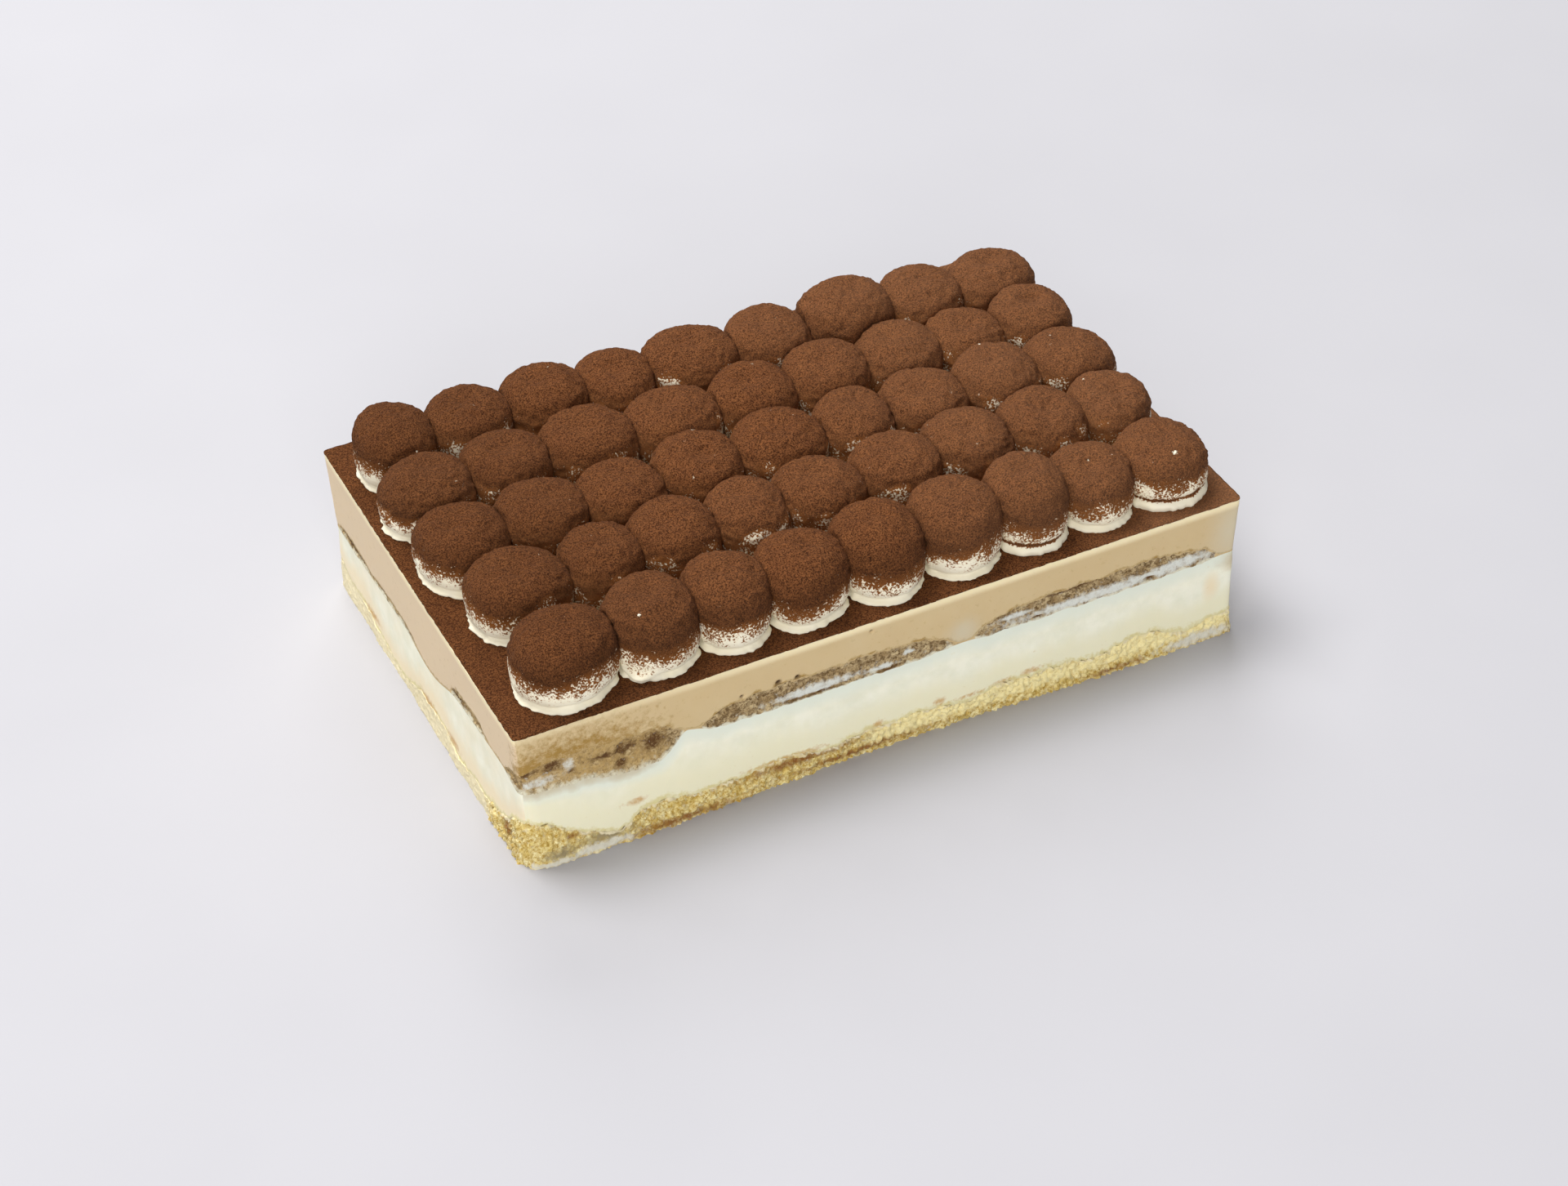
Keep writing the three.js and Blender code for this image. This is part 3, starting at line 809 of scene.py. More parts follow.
def wrap_wall(lower, upper, rows, relief):
    """A closed band round the block between two edges. For each point, relief is told the point and
    its distances in millimetres above the lower and below the upper edge, and gives the push
    outward in millimetres and a dictionary of attributes."""
    count = len(lower)
    outward = outward_of(upper)
    band = bmesh.new()
    bmesh.ops.create_grid(band, x_segments=count, y_segments=rows, size=0.5)
    for name in relief(Vector(lower[0]), 0, 1)[1]:
        band.verts.layers.float.new(name)
    for vertex in band.verts:
        step = round((vertex.co.x + 0.5) * count) % count
        share = vertex.co.y + 0.5
        point = Vector(lower[step] * (1 - share) + upper[step] * share)
        tall = (upper[step][2] - lower[step][2]) / MM
        push, values = relief(point, share * tall, (1 - share) * tall)
        vertex.co = point + Vector(outward[step]) * push * MM
        for name, value in values.items():
            vertex[band.verts.layers.float[name]] = value
    bmesh.ops.remove_doubles(band, verts=band.verts, dist=WELD)
    close_rims(band, Vector((0, 0, (lower[:, 2].mean() + upper[:, 2].mean()) / 2)))
    return band


print(f"closing faces begin {100 * (1 - CAP_INSET):.0f}% inside a wall")

# %% [markdown]
# ## Coffee cream
# The upper layer is tan coffee ice cream, smooth from the mould, with a painted highlight along its
# upper edge, and pricked by a few air bubbles that get a painted shade inside. Ice cream scatters
# light under its surface, which softens it. At the front left it is mixed with crumbs, so it is darker
# and mottled there. Such places are painted as attributes on the mesh, and the material breaks their
# edges up with noise.

# %% Material of the coffee cream
COFFEE_CLOUD, COFFEE_GRAIN = 14, 2.2
COFFEE_GROUND, COFFEE_CLOUDS = "#CCB284", "#D4BE93"
SCATTER_DEPTH = 2 * MM


def painted(tree, name, pattern, breakup, softness=0.5):
    """Share of a painted attribute, with its fading edge broken up by a pattern."""
    paint = add_node(tree, "ShaderNodeAttribute", attribute_name=name)
    edge = {0: pattern, 1: breakup, 2: paint.outputs["Fac"]}
    broken = add_node(tree, "ShaderNodeMath", edge, operation="MULTIPLY_ADD")
    middle = 0.5 + breakup / 2
    limits = {"From Min": middle - softness / 2, "From Max": middle + softness / 2}
    share = add_node(tree, "ShaderNodeMapRange", {"Value": broken.outputs["Value"], **limits})
    return share.outputs["Result"]


def ice_cream(name, scatter):
    """A material for frozen cream: satin, and softened by light that scatters a few millimetres deep."""
    material, tree, place, shader = new_material(
        name, {"Roughness": 0.55, "IOR": 1.4, "Specular IOR Level": 0.3, "Subsurface Weight": 0.15}
    )
    shader.inputs["Subsurface Radius"].default_value = scatter
    shader.inputs["Subsurface Scale"].default_value = SCATTER_DEPTH
    return material, tree, place, shader


def coffee_cream():
    """Coffee ice cream, set in a mould and frozen: smooth tan with soft clouds of tone."""
    material, tree, place, shader = ice_cream("coffee_ice_cream_moulded", (1.0, 0.7, 0.4))
    soft = {"Vector": place, "Scale": per_mm(COFFEE_CLOUD), "Detail": 3.0}
    fine = {"Vector": place, "Scale": per_mm(COFFEE_GRAIN), "Detail": 5.0, "Roughness": 0.75}
    clouds = add_node(tree, "ShaderNodeTexNoise", soft).outputs["Fac"]
    grains = add_node(tree, "ShaderNodeTexNoise", fine).outputs["Fac"]
    coats = [
        (clouds, linear(COFFEE_CLOUDS)),
        (painted(tree, "ruddy", clouds, breakup=0.3), linear("#DEC7A4")),
        (painted(tree, "crumbs", grains, breakup=2.0, softness=0.6), linear("#A28040")),
        (painted(tree, "smear", clouds, breakup=0.4, softness=0.9), linear("#CFC5AB")),
        # A painted highlight along the upper edge.
        (painted(tree, "rim", grains, breakup=0.3, softness=0.9), linear("#F4E4BA")),
        # Painted shade inside the bubbles.
        (painted(tree, "pit", grains, breakup=0.2), linear("#4E3822")),
    ]
    tone = lay_coats(tree, linear(COFFEE_GROUND), coats)
    bump = add_node(tree, "ShaderNodeBump", {"Strength": 0.25, "Distance": 0.2 * MM, "Height": grains})
    tree.links.new(tone, shader.inputs["Base Color"])
    tree.links.new(bump.outputs["Normal"], shader.inputs["Normal"])
    return material


COFFEE_CREAM = coffee_cream()
print("made", COFFEE_CREAM.name)

# %% [markdown]
# The wall of the coffee cream is so smooth that its waves show only in the light, so its relief is
# noise of a few tenths of a millimetre. The bubbles and pale smears are marks, because they are few
# and catch the eye, and noise alone would put them anywhere.

# %% Model the coffee cream
COFFEE_ROWS = 24
# Bubbles, dented in and given a painted shade inside.
COFFEE_PITS = [
    Mark("long", 78.5, 43.4, 0.8, 0.7),
    Mark("long", 91.6, 44, 1.2, 1.0),
    Mark("long", 98.4, 43.6, 1.0, 0.9),
    Mark("long", 124.8, 53, 0.5, 0.5),
]
PIT_DEPTH = 1.5
PALE_SMEARS, PALE_SMEAR = [Mark("long", 261, 44, 9, 16), Mark("long", 159, 39, 6, 6)], 0.7
MIXED_LONG, MIXED_SHORT = (20, 70), (2, 9)  # millimetres along each side over which the crumbs end
MIXED_CORNER = 0.9  # how far the short side's corner is mixed with crumbs
MIXED_ALL, MIXED_LOW, MIXED_RISE = 0.35, 0.4, (2, 9)  # shares of crumbs all over and low down
TORN_FOOT, TORN_FOOT_RISE, TORN_FOOT_WAVES = 0.6, (0, 1.3), ((0.8, 2.5, 5),)
RIM_HIGHLIGHT_BAND, RIM_DULL, RIM_BRIGHTENS = (0.6, 4), 0.5, (20, 120)  # painted highlight along the upper edge, duller at the front left
COFFEE_WAVES = ((0.18, 22, 1), (0.06, 4, 2))
CRUMB_WAVES = ((0.4, 2, 3),)
FLAT_FOOT = (0, 2)


def coffee_relief(point, above, below):
    """Nearly flat, with soft waves, a few bubbles, and crumbs at the front left."""
    side, along = side_place(point)
    on_long = side == "long"
    pit = marked(point, COFFEE_PITS)
    mixed = 1 - ramp(along, *MIXED_LONG) if on_long else MIXED_CORNER * (1 - ramp(along, *MIXED_SHORT))
    mixed *= MIXED_ALL + MIXED_LOW * (1 - ramp(above, *MIXED_RISE))
    bright = RIM_DULL + (1 - RIM_DULL) * ramp(along, *RIM_BRIGHTENS) if on_long else 1
    torn_foot = TORN_FOOT * (1 - ramp(above + ripple(point, TORN_FOOT_WAVES), *TORN_FOOT_RISE))
    wave = ripple(point, COFFEE_WAVES) + mixed * ripple(point, CRUMB_WAVES)
    push = wave * ramp(above, *FLAT_FOOT) - PIT_DEPTH * pit
    paint = {
        "ruddy": 0 if on_long else 1,
        "crumbs": max(mixed, torn_foot),
        "smear": PALE_SMEAR * marked(point, PALE_SMEARS),
        # painted highlight along the upper edge
        "rim": bright * (1 - ramp(below, *RIM_HIGHLIGHT_BAND)),
        # painted shade inside the bubbles
        "pit": pit,
    }
    return push, paint


wall = wrap_wall(EDGES["soaked_over"], EDGES["coffee_top"], COFFEE_ROWS, coffee_relief)
coffee = add_piece(wall, "coffee_cream_layer", COFFEE_CREAM, ["coffee_cream"])
print(f"coffee cream: {len(coffee.data.polygons)} faces")

# %% [markdown]
# ## Vanilla cream
# The thick layer is pale vanilla ice cream. Under the coffee sponge it has a cooler, slightly green
# painted shade, and low on the front a deeper, yellower tone that is painted warm reflected light. It is
# warmer low down and at the short ends, where syrup from the base sponge has crept into it.

# %% Material of the vanilla cream
VANILLA_CLOUD, VANILLA_STREAK, VANILLA_SPECK = 22, 8, 1.8
VANILLA_PALE, VANILLA_DEEP = "#F4F2DE", "#E9E8D1"
MOTTLING = {"From Min": 0.36, "From Max": 0.64}  # noise between the pale and the deep tone


def vanilla_cream():
    """Vanilla ice cream, set in a mould and frozen: smooth ivory with faint clouds and smears."""
    material, tree, place, shader = ice_cream("vanilla_ice_cream_moulded", (1.0, 0.8, 0.5))
    soft = {"Vector": place, "Scale": per_mm(VANILLA_CLOUD), "Detail": 3.0}
    drawn = {"Vector": place, "Scale": per_mm(VANILLA_STREAK), "Detail": 4.0, "Roughness": 0.6}
    fine = {"Vector": place, "Scale": per_mm(VANILLA_SPECK), "Detail": 4.0, "Roughness": 0.7}
    clouds, streaks, specks = [
        add_node(tree, "ShaderNodeTexNoise", pattern).outputs["Fac"] for pattern in (soft, drawn, fine)
    ]
    coats = [
        # Painted warm reflected light low on the front: a deeper, yellower tone.
        (painted(tree, "low", clouds, breakup=0.3, softness=0.9), linear("#EDE8C8")),
        # A cooler, slightly green painted shade under the coffee sponge.
        (painted(tree, "painted_cool_shade", clouds, breakup=0.5), linear("#E4E8D8")),
        (painted(tree, "warm", clouds, breakup=0.8), linear("#EFE0BE")),
        (painted(tree, "coffee", streaks, breakup=0.5, softness=0.6), linear("#B99C69")),
        (painted(tree, "strewn", specks, breakup=1.6), linear("#DDD19A")),
        (painted(tree, "syrup", specks, breakup=1.2, softness=0.6), linear("#C99F62")),
    ]
    mottle = add_node(tree, "ShaderNodeMapRange", {"Value": streaks, **MOTTLING})
    ground = lay_coats(tree, linear(VANILLA_PALE), [(mottle.outputs["Result"], linear(VANILLA_DEEP))])
    bump = add_node(tree, "ShaderNodeBump", {"Strength": 0.3, "Distance": 0.3 * MM, "Height": streaks})
    tree.links.new(lay_coats(tree, ground, coats), shader.inputs["Base Color"])
    tree.links.new(bump.outputs["Normal"], shader.inputs["Normal"])
    return material


VANILLA_CREAM = vanilla_cream()
print("made", VANILLA_CREAM.name)

# %% [markdown]
# The thick layer's wall has long, soft waves, and lies flat at both edges, where it meets a sponge.
# Its smears of syrup and coffee are marks. The broad changes of tone follow the height instead.

# %% Model the vanilla cream
VANILLA_ROWS = 28
SYRUP_SMEARS = [
    Mark("long", 40, 15, 4, 1.5),
    Mark("long", 94, 11, 16, 1.5),
    Mark("long", 127, 12.6, 2, 1.6),
    Mark("long", 150, 13, 2.5, 1.6),
    Mark("long", 161, 11.4, 6, 0.8),
    Mark("long", 173, 12.6, 4, 0.9),
    Mark("long", 184, 13, 4, 1.3),
    Mark("short", 62, 9, 6, 2),
    Mark("short", 84, 9, 8, 2.5),
    Mark("short", 137, 9, 8, 2),
]
SYRUP_SMEAR = 0.75
WARM_STREAKS, WARM_STREAK = [Mark("long", 254, 23, 4, 7)], 0.8
TAN_SMEARS, TAN_SMEAR = [Mark("long", 263, 31, 8, 6)], 0.5
MIXED_END = 58  # millimetres along the front over which the sponge above is mixed with coffee cream
UNDER_CRUMBS, UNDER_DEPTH = (MIXED_END - 20, MIXED_END + 6), (0, 6)  # coffee that has run down from it
COOL_LONG, COOL_SHORT, COOL_DEPTH = 0.8, 0.2, (0, 10)  # shares of the painted cool shade, and millimetres below the upper edge
WARM_SHORT, WARM_LOW, WARM_RISE = 0.35, 0.5, (1, 14)  # all over the short ends, and more low down
LOW_PAINTED_BOUNCE, LOW_START, LOW_TALL = 0.9, 5, 24  # deeper, yellower tone low on the front, painted warm reflected light, and where it fades
LOW_SINKS, LOW_ALONG = 9, (40, 130)  # millimetres that it sinks by, along the front
SEEP, SEEP_RISE, SEEP_WAVES = 0.75, 3, ((2, 12, 6),)  # crumbs strewn just above the base
VANILLA_WAVES = ((0.35, 26, 3), (0.12, 7, 4))
FLAT_EDGE = (0, 3)


def vanilla_relief(point, above, below):
    """Soft waves that flatten out toward both edges."""
    side, along = side_place(point)
    on_long = side == "long"
    push = ripple(point, VANILLA_WAVES) * ramp(below, *FLAT_EDGE) * ramp(above, *FLAT_EDGE)
    under = (1 - ramp(along, *UNDER_CRUMBS)) * (1 - ramp(below, *UNDER_DEPTH)) if on_long else 0
    warm_end = 0 if on_long else WARM_SHORT + WARM_LOW * (1 - ramp(above, *WARM_RISE))
    low_end = LOW_TALL - LOW_SINKS * ramp(along, *LOW_ALONG)
    paint = {
        # painted cool shade below the upper edge
        "painted_cool_shade": (COOL_LONG if on_long else COOL_SHORT) * (1 - ramp(below, *COOL_DEPTH)),
        "warm": max(warm_end, WARM_STREAK * marked(point, WARM_STREAKS)),
        # painted warm reflected light low on the front, reaching higher at the left
        "low": LOW_PAINTED_BOUNCE * (1 - ramp(above, LOW_START, low_end)) if on_long else 0,
        "coffee": TAN_SMEAR * max(under, marked(point, TAN_SMEARS)),
        "syrup": SYRUP_SMEAR * marked(point, SYRUP_SMEARS),
        "strewn": SEEP * (1 - ramp(above, 0, SEEP_RISE + ripple(point, SEEP_WAVES))),
    }
    return push, paint


wall = wrap_wall(EDGES["sponge_top"], EDGES["soaked_under"], VANILLA_ROWS, vanilla_relief)
vanilla = add_piece(wall, "vanilla_cream_layer", VANILLA_CREAM, ["vanilla_cream"])
print(f"vanilla cream: {len(vanilla.data.polygons)} faces")

# %% [markdown]
# ## Sponge
# Both sponges are cake crumb: rounded crumbs with sharp gaps between them, and a painted shade in the
# gaps. The absolute value of smooth noise gives just that, because it has sharp valleys where the
# noise changes sign. The base is yellow and dry. The sponge between the creams is soaked with coffee,
# dark and granular, mixed with coffee cream at the front left and smeared with milky cream on its lower
# half elsewhere.

# %% Materials of the sponges
SPONGE_GRAIN, SPONGE_TEAR, SPONGE_BLOTCH = 1.2, 2.5, 4.5
GRAIN_LIGHT = {"From Min": 0.4, "From Max": 0.62}  # noise between the dark and the middle colour
BLOTCH_LIGHT = {"From Min": 0.35, "From Max": 0.7}  # noise where the lightest grains are
GAP_PAINTED_SHADE = {"From Min": 0.3, "From Max": -0.15}  # height of the crumb where the painted shade of the gaps begins


def sponge(name, crumb_colours, coats):
    """Baked sponge, torn open: matt crumbs from dark to light, painted coats, and painted shade in the
    gaps.
    """
    material, tree, place, shader = new_material(name, {"Roughness": 0.9, "Specular IOR Level": 0.2})
    fine = {"Vector": place, "Scale": per_mm(SPONGE_GRAIN), "Detail": 4.0, "Roughness": 0.75}
    rough = {"Vector": place, "Scale": per_mm(SPONGE_TEAR), "Detail": 5.0, "Roughness": 0.75}
    soft = {"Vector": place, "Scale": per_mm(SPONGE_BLOTCH), "Detail": 3.0}
    grain, tear, blotch = [
        add_node(tree, "ShaderNodeTexNoise", pattern).outputs["Fac"] for pattern in (fine, rough, soft)
    ]
    light = add_node(tree, "ShaderNodeMapRange", {"Value": grain, **GRAIN_LIGHT}).outputs["Result"]
    patch = add_node(tree, "ShaderNodeMapRange", {"Value": blotch, **BLOTCH_LIGHT}).outputs["Result"]
    bright = add_node(tree, "ShaderNodeMath", {0: light, 1: patch}, operation="MULTIPLY")
    height = add_node(tree, "ShaderNodeAttribute", attribute_name="crumb")
    gap_shade = add_node(tree, "ShaderNodeMapRange", {"Value": height.outputs["Fac"], **GAP_PAINTED_SHADE})
    dark, middle, pale = [linear(colour) for colour in crumb_colours]
    crumbs = [(light, middle), (bright.outputs["Value"], pale)]
    paints = [
        (painted(tree, paint, tear, breakup, softness), linear(colour))
        for paint, colour, breakup, softness in coats
    ]
    # Painted shade in the gaps between the crumbs.
    gap_shades = [(gap_shade.outputs["Result"], dark)]
    bump = add_node(tree, "ShaderNodeBump", {"Strength": 0.6, "Distance": 0.6 * MM, "Height": grain})
    tree.links.new(lay_coats(tree, dark, crumbs + paints + gap_shades), shader.inputs["Base Color"])
    tree.links.new(bump.outputs["Normal"], shader.inputs["Normal"])
    return material


# Each coat has the attribute it is painted with, its colour, and its edge's breakup and softness.
SOAKED_SPONGE = sponge(
    "sponge_cake_soaked_in_coffee",
    ("#695132", "#AC9165", "#D6C196"),
    [
        ("tan", "#BC9D64", 2.0, 0.5),
        ("stain", "#5E4022", 3.0, 0.6),
        ("milk", "#DADBD2", 2.0, 0.6),
        ("seep", "#DDD8C0", 2.0, 0.6),
        ("cream", "#CCB283", 2.0, 0.5),
    ],
)
BASE_SPONGE = sponge(
    "sponge_cake_baked_and_torn",
    ("#B8943F", "#E9D283", "#FDF5C6"),
    [
        ("pale", "#FAECB2", 1.6, 0.9),
        ("stain", "#8E5F2E", 1.8, 0.8),
        # a film over the crumb, darkened by painted shade
        ("shaded_film", "#9E8F6B", 1.8, 0.7),
        ("milk", "#DDD8C6", 2.0, 0.6),
        ("cream", "#E9DDB9", 2.0, 0.6),
    ],
)
print("made", SOAKED_SPONGE.name, "and", BASE_SPONGE.name)

# %% [markdown]
# The soaked sponge shows as a dark strip that swells and thins along the front. Coffee has blotted
# it, milk has filmed it, and it has cracked near its lower edge, with a painted shade in the cracks.
# All of these are marks again. Where the strip thins out, its colour turns to that of the cream above,
# so that it seems to end.

# %% Marks on the soaked sponge
COFFEE_BLOTS = [
    Mark("long", 3, 41.2, 6, 1.8),
    Mark("long", 12.5, 41.4, 4.5, 2.8),
    Mark("long", 18.7, 36.5, 1.6, 1.2),
    Mark("long", 30, 38, 5, 1.6),
    Mark("long", 37, 38.5, 5, 3),
    Mark("long", 35.5, 32.5, 2.5, 3),
    Mark("long", 47, 37.5, 5, 4.5),
    Mark("long", 94, 39.6, 0.8, 0.7),
    Mark("long", 200, 42, 12, 0.8),
    Mark("long", 230, 34.8, 2.2, 0.6),
    Mark("short", 16, 37, 5, 0.8),
    Mark("short", 33, 38, 3.5, 1),
    Mark("short", 54, 34, 7, 1.2),
    Mark("short", 100, 28, 10, 0.8),
    Mark("short", 152, 28, 14, 1),
]
MILKY_BANDS = [
    Mark("long", 18, 39.5, 2.2, 2.6),
    Mark("long", 7, 36, 8, 2),
    Mark("long", 105, 36.3, 15, 2),
    Mark("long", 129, 35.7, 5, 1),
    Mark("long", 138.5, 38.6, 2.2, 1),
    Mark("long", 178, 38.4, 7, 1.1),
    Mark("long", 214, 35.8, 38, 2),
    Mark("long", 241, 36.8, 13, 2.2),
]
# Painted shade in the cracks near the lower edge, which are also pressed in.
CRACK_SHADES = [
    Mark("long", 105, 34.2, 16, 0.5),
    Mark("long", 131, 34.1, 7, 0.5),
    Mark("long", 173, 34.1, 3, 0.5),
    Mark("long", 187, 34.2, 3, 0.5),
    Mark("long", 230, 34.8, 2.5, 0.6),
]
print(f"{len(COFFEE_BLOTS)} blots, {len(MILKY_BANDS)} milky bands, {len(CRACK_SHADES)} cracks")

# %% Model the soaked sponge
SOAKED_ROWS = 20
SOAKED_CRUMB, SOAKED_SEED = 1.8, 41
COARSE_CRUMB, FINE_CRUMB, FINER = 1.5, 0.7, 2.2  # heights of both crumbs, and how much smaller one is
MIXED_ENDS, MIXED_SHORT_END = (MIXED_END - 10, MIXED_END), 0.6  # coffee cream in the sponge
MILK_WHOLE, MILK_MIXED, MILK_GAIN = 0.85, 0.25, 1.3  # share, what is less where mixed, and spread
CRACK_WAVES, CRACK_DEPTH = ((0.5, 7, 44),), 1.4
STRIP_SHOWS = (0.8, 3)  # millimetres of height over which the strip comes out of the creams
LOWER_EDGE, UPPER_EDGE, MIXED_EDGE = 1.5, 1.2, 2  # millimetres over which it does so at its edges
SOAKED_SET_BACK, SOAKED_RELIEF, MILK_FILLS = 0.8, 0.9, 0.5  # millimetres
MILK_SMOOTHS = 0.7  # share of the crumb's relief that milk takes away
SOAKED_TEARS = ((1.2, 3, 43),)
TAN_SHARE, STAIN_DULL = 0.6, 0.1
SEEP_WHOLE, SEEP_MIXED = 0.85, 0.2  # vanilla cream from below, and what is less where mixed
SEEP_LOW, SEEP_MIXED_RISE = 1.2, 2.5  # millimetres that it rises, and more where mixed
CREAM_WHOLE, CREAM_MIXED, CREAM_FALL = 0.8, 0.5, 0.9  # the same for coffee cream from above


def crumb(point, size, seed):
    """Height of torn crumb from 0 in the gaps to 1 on the crumbs."""
    coarse = abs(sway(point, size, seed))
    fine = abs(sway(point, size / FINER, seed + 1))
    return min(1, COARSE_CRUMB * coarse + FINE_CRUMB * fine)


def soaked_relief(point, above, below):
    """Wet crumb, set back a little behind the creams, and smoothed where milk films it."""
    side, along = side_place(point)
    mixed = 1 - ramp(along, *MIXED_ENDS) if side == "long" else MIXED_SHORT_END
    milk = (MILK_WHOLE - MILK_MIXED * mixed) * min(1, MILK_GAIN * marked(point, MILKY_BANDS))
    crack = marked(point + Vector((0, 0, MM * ripple(point, CRACK_WAVES))), CRACK_SHADES)
    full = ramp(above + below, *STRIP_SHOWS)
    high = crumb(point, SOAKED_CRUMB, SOAKED_SEED)
    inside = full * ramp(above, 0, LOWER_EDGE) * ramp(below, 0, UPPER_EDGE + MIXED_EDGE * mixed)
    grains = SOAKED_RELIEF * high * (1 - MILK_SMOOTHS * milk)
    push = inside * (-SOAKED_SET_BACK + grains + MILK_FILLS * milk - CRACK_DEPTH * crack)
    tear = ripple(point, SOAKED_TEARS)
    seep_rise = SEEP_LOW + SEEP_MIXED_RISE * mixed
    seep = (SEEP_WHOLE - SEEP_MIXED * mixed) * (1 - ramp(above + tear, 0, seep_rise))
    cream = (CREAM_WHOLE - CREAM_MIXED * mixed) * (1 - ramp(below + tear, 0, CREAM_FALL))
    paint = {
        "crumb": max(high, milk),
        "tan": TAN_SHARE * mixed,
        # coffee stains, and painted shade in the cracks
        "stain": max(marked(point, COFFEE_BLOTS), crack) - STAIN_DULL,
        "milk": milk * (1 - crack),
        "seep": seep * (1 - crack),
        "cream": max(cream, 1 - full),
    }
    return push, paint


wall = wrap_wall(EDGES["soaked_under"], EDGES["soaked_over"], SOAKED_ROWS, soaked_relief)
soaked = add_piece(wall, "soaked_sponge_layer", SOAKED_SPONGE, ["soaked_sponge"])
print(f"soaked sponge: {len(soaked.data.polygons)} faces")

# %% [markdown]
# The base is the roughest layer: torn crumb nearly two millimetres deep, stained by syrup and filmed
# with milk at both ends of the front. Crumbs could be scattered on it as small lumps, but a wall
# that is pushed in and out in one piece has no gaps behind it.

# %% Marks on the base sponge
SYRUP_STAINS = [
    Mark("long", 17, 9.8, 2.2, 1.4),
    Mark("long", 98, 8.6, 24, 2.2),
    Mark("long", 110.5, 9, 0.9, 1.9),
    Mark("long", 127, 11.8, 2, 1.4),
    Mark("long", 150, 12.4, 2.5, 1.2),
    Mark("long", 161, 11, 6, 0.9),
    Mark("long", 173, 12, 4, 0.9),
    Mark("long", 184, 12.2, 4, 1.2),
    Mark("long", 54, 1.6, 24, 1.6),
    Mark("long", 120, 3, 28, 1.3),
    Mark("long", 218, 1.6, 13, 1),
    Mark("short", 15, 9, 4, 4),
    Mark("short", 84, 7, 6, 1.5),
]
MILK_FILMS = [
    Mark("long", 27, 2, 11, 1.8),
    Mark("long", 250, 2.5, 15, 2.2),
    Mark("long", 8, 1, 14, 1.2),
]
# Films over the crumb low at the front left, darkened by painted shade.
SHADED_FILMS = [Mark("long", 29, 6, 10, 3.5), Mark("long", 13, 4.5, 7, 2.5)]
print(f"{len(SYRUP_STAINS)} stains, {len(MILK_FILMS) + len(SHADED_FILMS)} films")

# %% Model the base sponge
BASE_ROWS = 22
BASE_CRUMB, BASE_SEED = 2.2, 51
DRY_START = (114, 130)  # millimetres along the front over which the upper crumb turns dry and pale
DRY_SHARE, DRY_RISE = 0.8, (2.5, 6)
FILMED_START, FILMED = (22, 38), 0.9  # millimetres from the front over which cream films the short end
STAIN_SHARE, SHADED_FILM_SHARE, SHADED_FILM_SMOOTHS, MILK_SHARE, MILK_SPREAD = 0.85, 0.9, 0.7, 0.9, 1.2
BASE_SET_BACK, BASE_RELIEF = 0.8, 1.7  # millimetres
FILMED_RELIEF = 0.2  # share of that relief which is left under a film
BASE_WAVES, BASE_TEARS = ((0.5, 9, 52),), ((1.4, 4, 53),)
RUN_DOWN, RUN_DOWN_REACH = 0.7, 1.4  # share of cream that has run over the upper edge, and how far


def base_relief(point, above, below):
    """Deep torn crumb, smooth only where cream films it."""
    side, along = side_place(point)
    milk = min(1, MILK_SPREAD * marked(point, MILK_FILMS))
    shaded_film = SHADED_FILM_SHARE * marked(point, SHADED_FILMS)
    dry = ramp(along, *DRY_START) if side == "long" else 0
    filmed = FILMED * ramp(along, *FILMED_START) if side == "short" else 0
    bare = 1 - max(milk, SHADED_FILM_SMOOTHS * shaded_film, filmed)
    high = crumb(point, BASE_CRUMB, BASE_SEED)
    grains = BASE_RELIEF * high * (FILMED_RELIEF + (1 - FILMED_RELIEF) * bare)
    push = grains - BASE_SET_BACK * bare + ripple(point, BASE_WAVES)
    tear = ripple(point, BASE_TEARS)
    paint = {
        "crumb": max(high, 1 - bare),
        "pale": DRY_SHARE * dry * ramp(above, *DRY_RISE),
        "stain": STAIN_SHARE * marked(point, SYRUP_STAINS),
        # film over the crumb, darkened by painted shade
        "shaded_film": shaded_film,
        "milk": MILK_SHARE * milk,
        "cream": max(filmed, RUN_DOWN * (1 - ramp(below + tear, 0, RUN_DOWN_REACH))),
    }
    return push, paint


wall = wrap_wall(EDGES["floor"], EDGES["sponge_top"], BASE_ROWS, base_relief)
base = add_piece(wall, "base_sponge_layer", BASE_SPONGE, ["base_sponge"])
print(f"base sponge: {len(base.data.polygons)} faces")

# %% [markdown]
# ## Cocoa on the flat top
# The flat top is the same powder on a level bed: fine grain, shallow drifts, and a ragged rim where some
# of it hangs over the edge. A grid of one-millimetre squares is laid over it, its corners are rounded,
# and it is roughened and given a short skirt.

# %% Material of the cocoa
POWDER_SHEEN = {"Roughness": 0.95, "Specular IOR Level": 0.1}


def sifted_cocoa():
    """Cocoa powder, sifted: matt, fine-grained brown with next to no gloss."""
    material, tree, place, shader = new_material("cocoa_powder_sifted", POWDER_SHEEN)
    powder, height = cocoa_tone(tree, place)
    bump = add_node(tree, "ShaderNodeBump", {"Height": height, **POWDER_RELIEF})
    tree.links.new(retoned(tree, powder, ("painted_shade_and_darker_end", "pale")), shader.inputs["Base Color"])
    tree.links.new(bump.outputs["Normal"], shader.inputs["Normal"])
    return material


SIFTED_COCOA = sifted_cocoa()
print("made", SIFTED_COCOA.name)

# %% [markdown]
# The bed could be a flat plate with a bumpy material, but its rim is seen from the side. So the points
# of the grid are moved as well: those of the rim in and out, and all of them up and down.

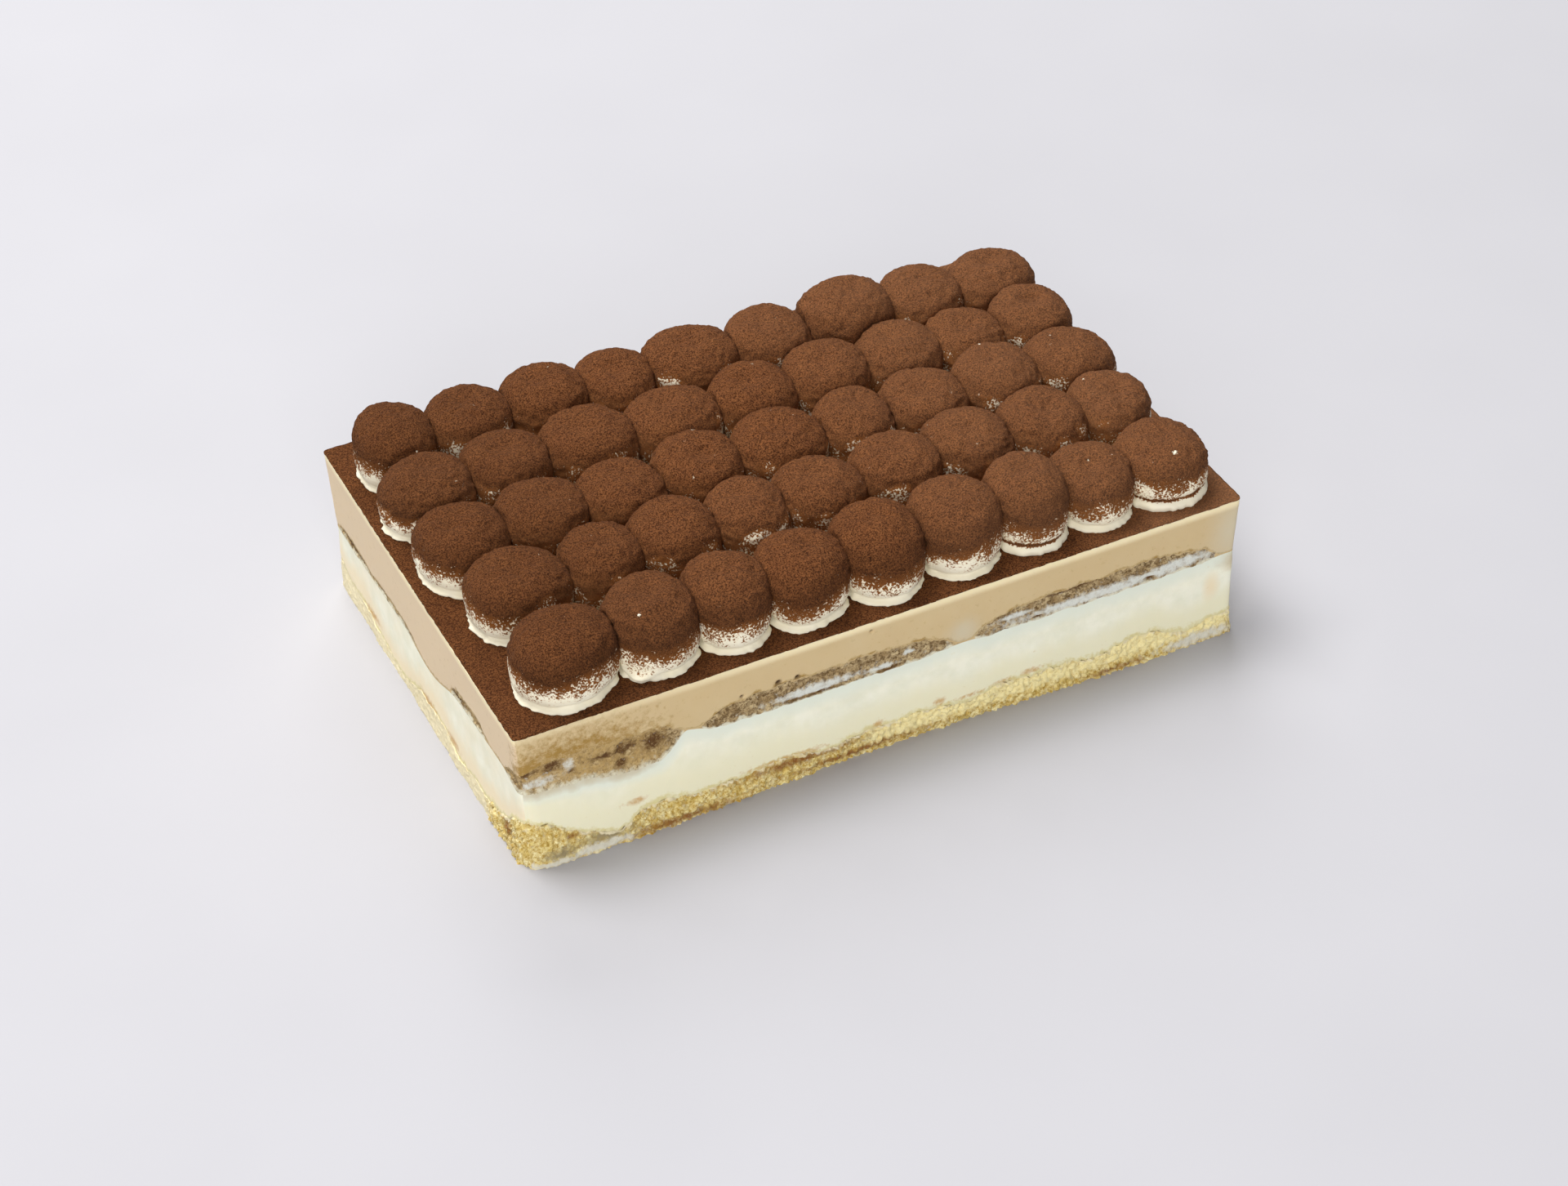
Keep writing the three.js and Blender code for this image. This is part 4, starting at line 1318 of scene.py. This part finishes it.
# %% Model the cocoa
COCOA_STEP = 1.0
CORNER_RADIUS = 2.0 * MM
RAGGED_WAVES, RAGGED_SHORT = ((0.15, 2.6, 61), (0.15, 1.1, 62)), 0.1  # the rim stays short on the whole
DRIFTS = ((0.1, 1.4, 63), (0.12, 5, 64))
SKIRT, SKIRT_WAVES = 0.25, ((0.15, 2.2, 65),)
BED_DARKER, BED_DARKER_END = 0.26, (40, 200)  # share at the left end, and millimetres over which it ends
BED_PALE, BED_PALE_START = 0.2, (190, 250)  # share at the right end, and millimetres over which it starts


def round_corner(place, half):
    """Draws a point beyond a rounded corner of the bed in to its arc."""
    corner = Vector((abs(place.x) - half.x + CORNER_RADIUS, abs(place.y) - half.y + CORNER_RADIUS))
    if min(corner) > 0 and corner.length > CORNER_RADIUS:
        corner = corner.normalized() * CORNER_RADIUS
        place.x = math.copysign(half.x - CORNER_RADIUS + corner.x, place.x)
        place.y = math.copysign(half.y - CORNER_RADIUS + corner.y, place.y)


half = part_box("cocoa_top")[1]
bed = bmesh.new()
bmesh.ops.create_grid(
    bed, x_segments=round(LENGTH / COCOA_STEP), y_segments=round(WIDTH / COCOA_STEP), size=0.5
)
for name in ("painted_shade_and_darker_end", "pale"):
    bed.verts.layers.float.new(name)
painted_shade_and_darker_end, pale = [bed.verts.layers.float[name] for name in ("painted_shade_and_darker_end", "pale")]
for vertex in bed.verts:
    place = Vector((vertex.co.x * 2 * half.x, vertex.co.y * 2 * half.y, half.z))
    round_corner(place, half)
    if vertex.is_boundary:
        ragged = ripple(place, RAGGED_WAVES) - RAGGED_SHORT
        place += Vector((place.x / half.x, place.y / half.y, 0)) * ragged * MM
    place.z += ripple(place, DRIFTS) * MM
    vertex.co = place
    vertex[painted_shade_and_darker_end] = BED_DARKER * (1 - ramp(from_left(place), *BED_DARKER_END))
    vertex[pale] = BED_PALE * ramp(from_left(place), *BED_PALE_START)
rim = [edge for edge in bed.edges if edge.is_boundary]
skirt = bmesh.ops.extrude_edge_only(bed, edges=rim)["geom"]
for vertex in [item for item in skirt if isinstance(item, bmesh.types.BMVert)]:
    vertex.co.z = half.z - (SKIRT + ripple(vertex.co, SKIRT_WAVES)) * MM
bmesh.ops.holes_fill(bed, edges=[edge for edge in bed.edges if edge.is_boundary], sides=0)
bmesh.ops.recalc_face_normals(bed, faces=bed.faces)
cocoa = add_piece(bed, "cocoa_bed", SIFTED_COCOA, ["cocoa_top"])
print(f"cocoa: {len(cocoa.data.polygons)} faces")
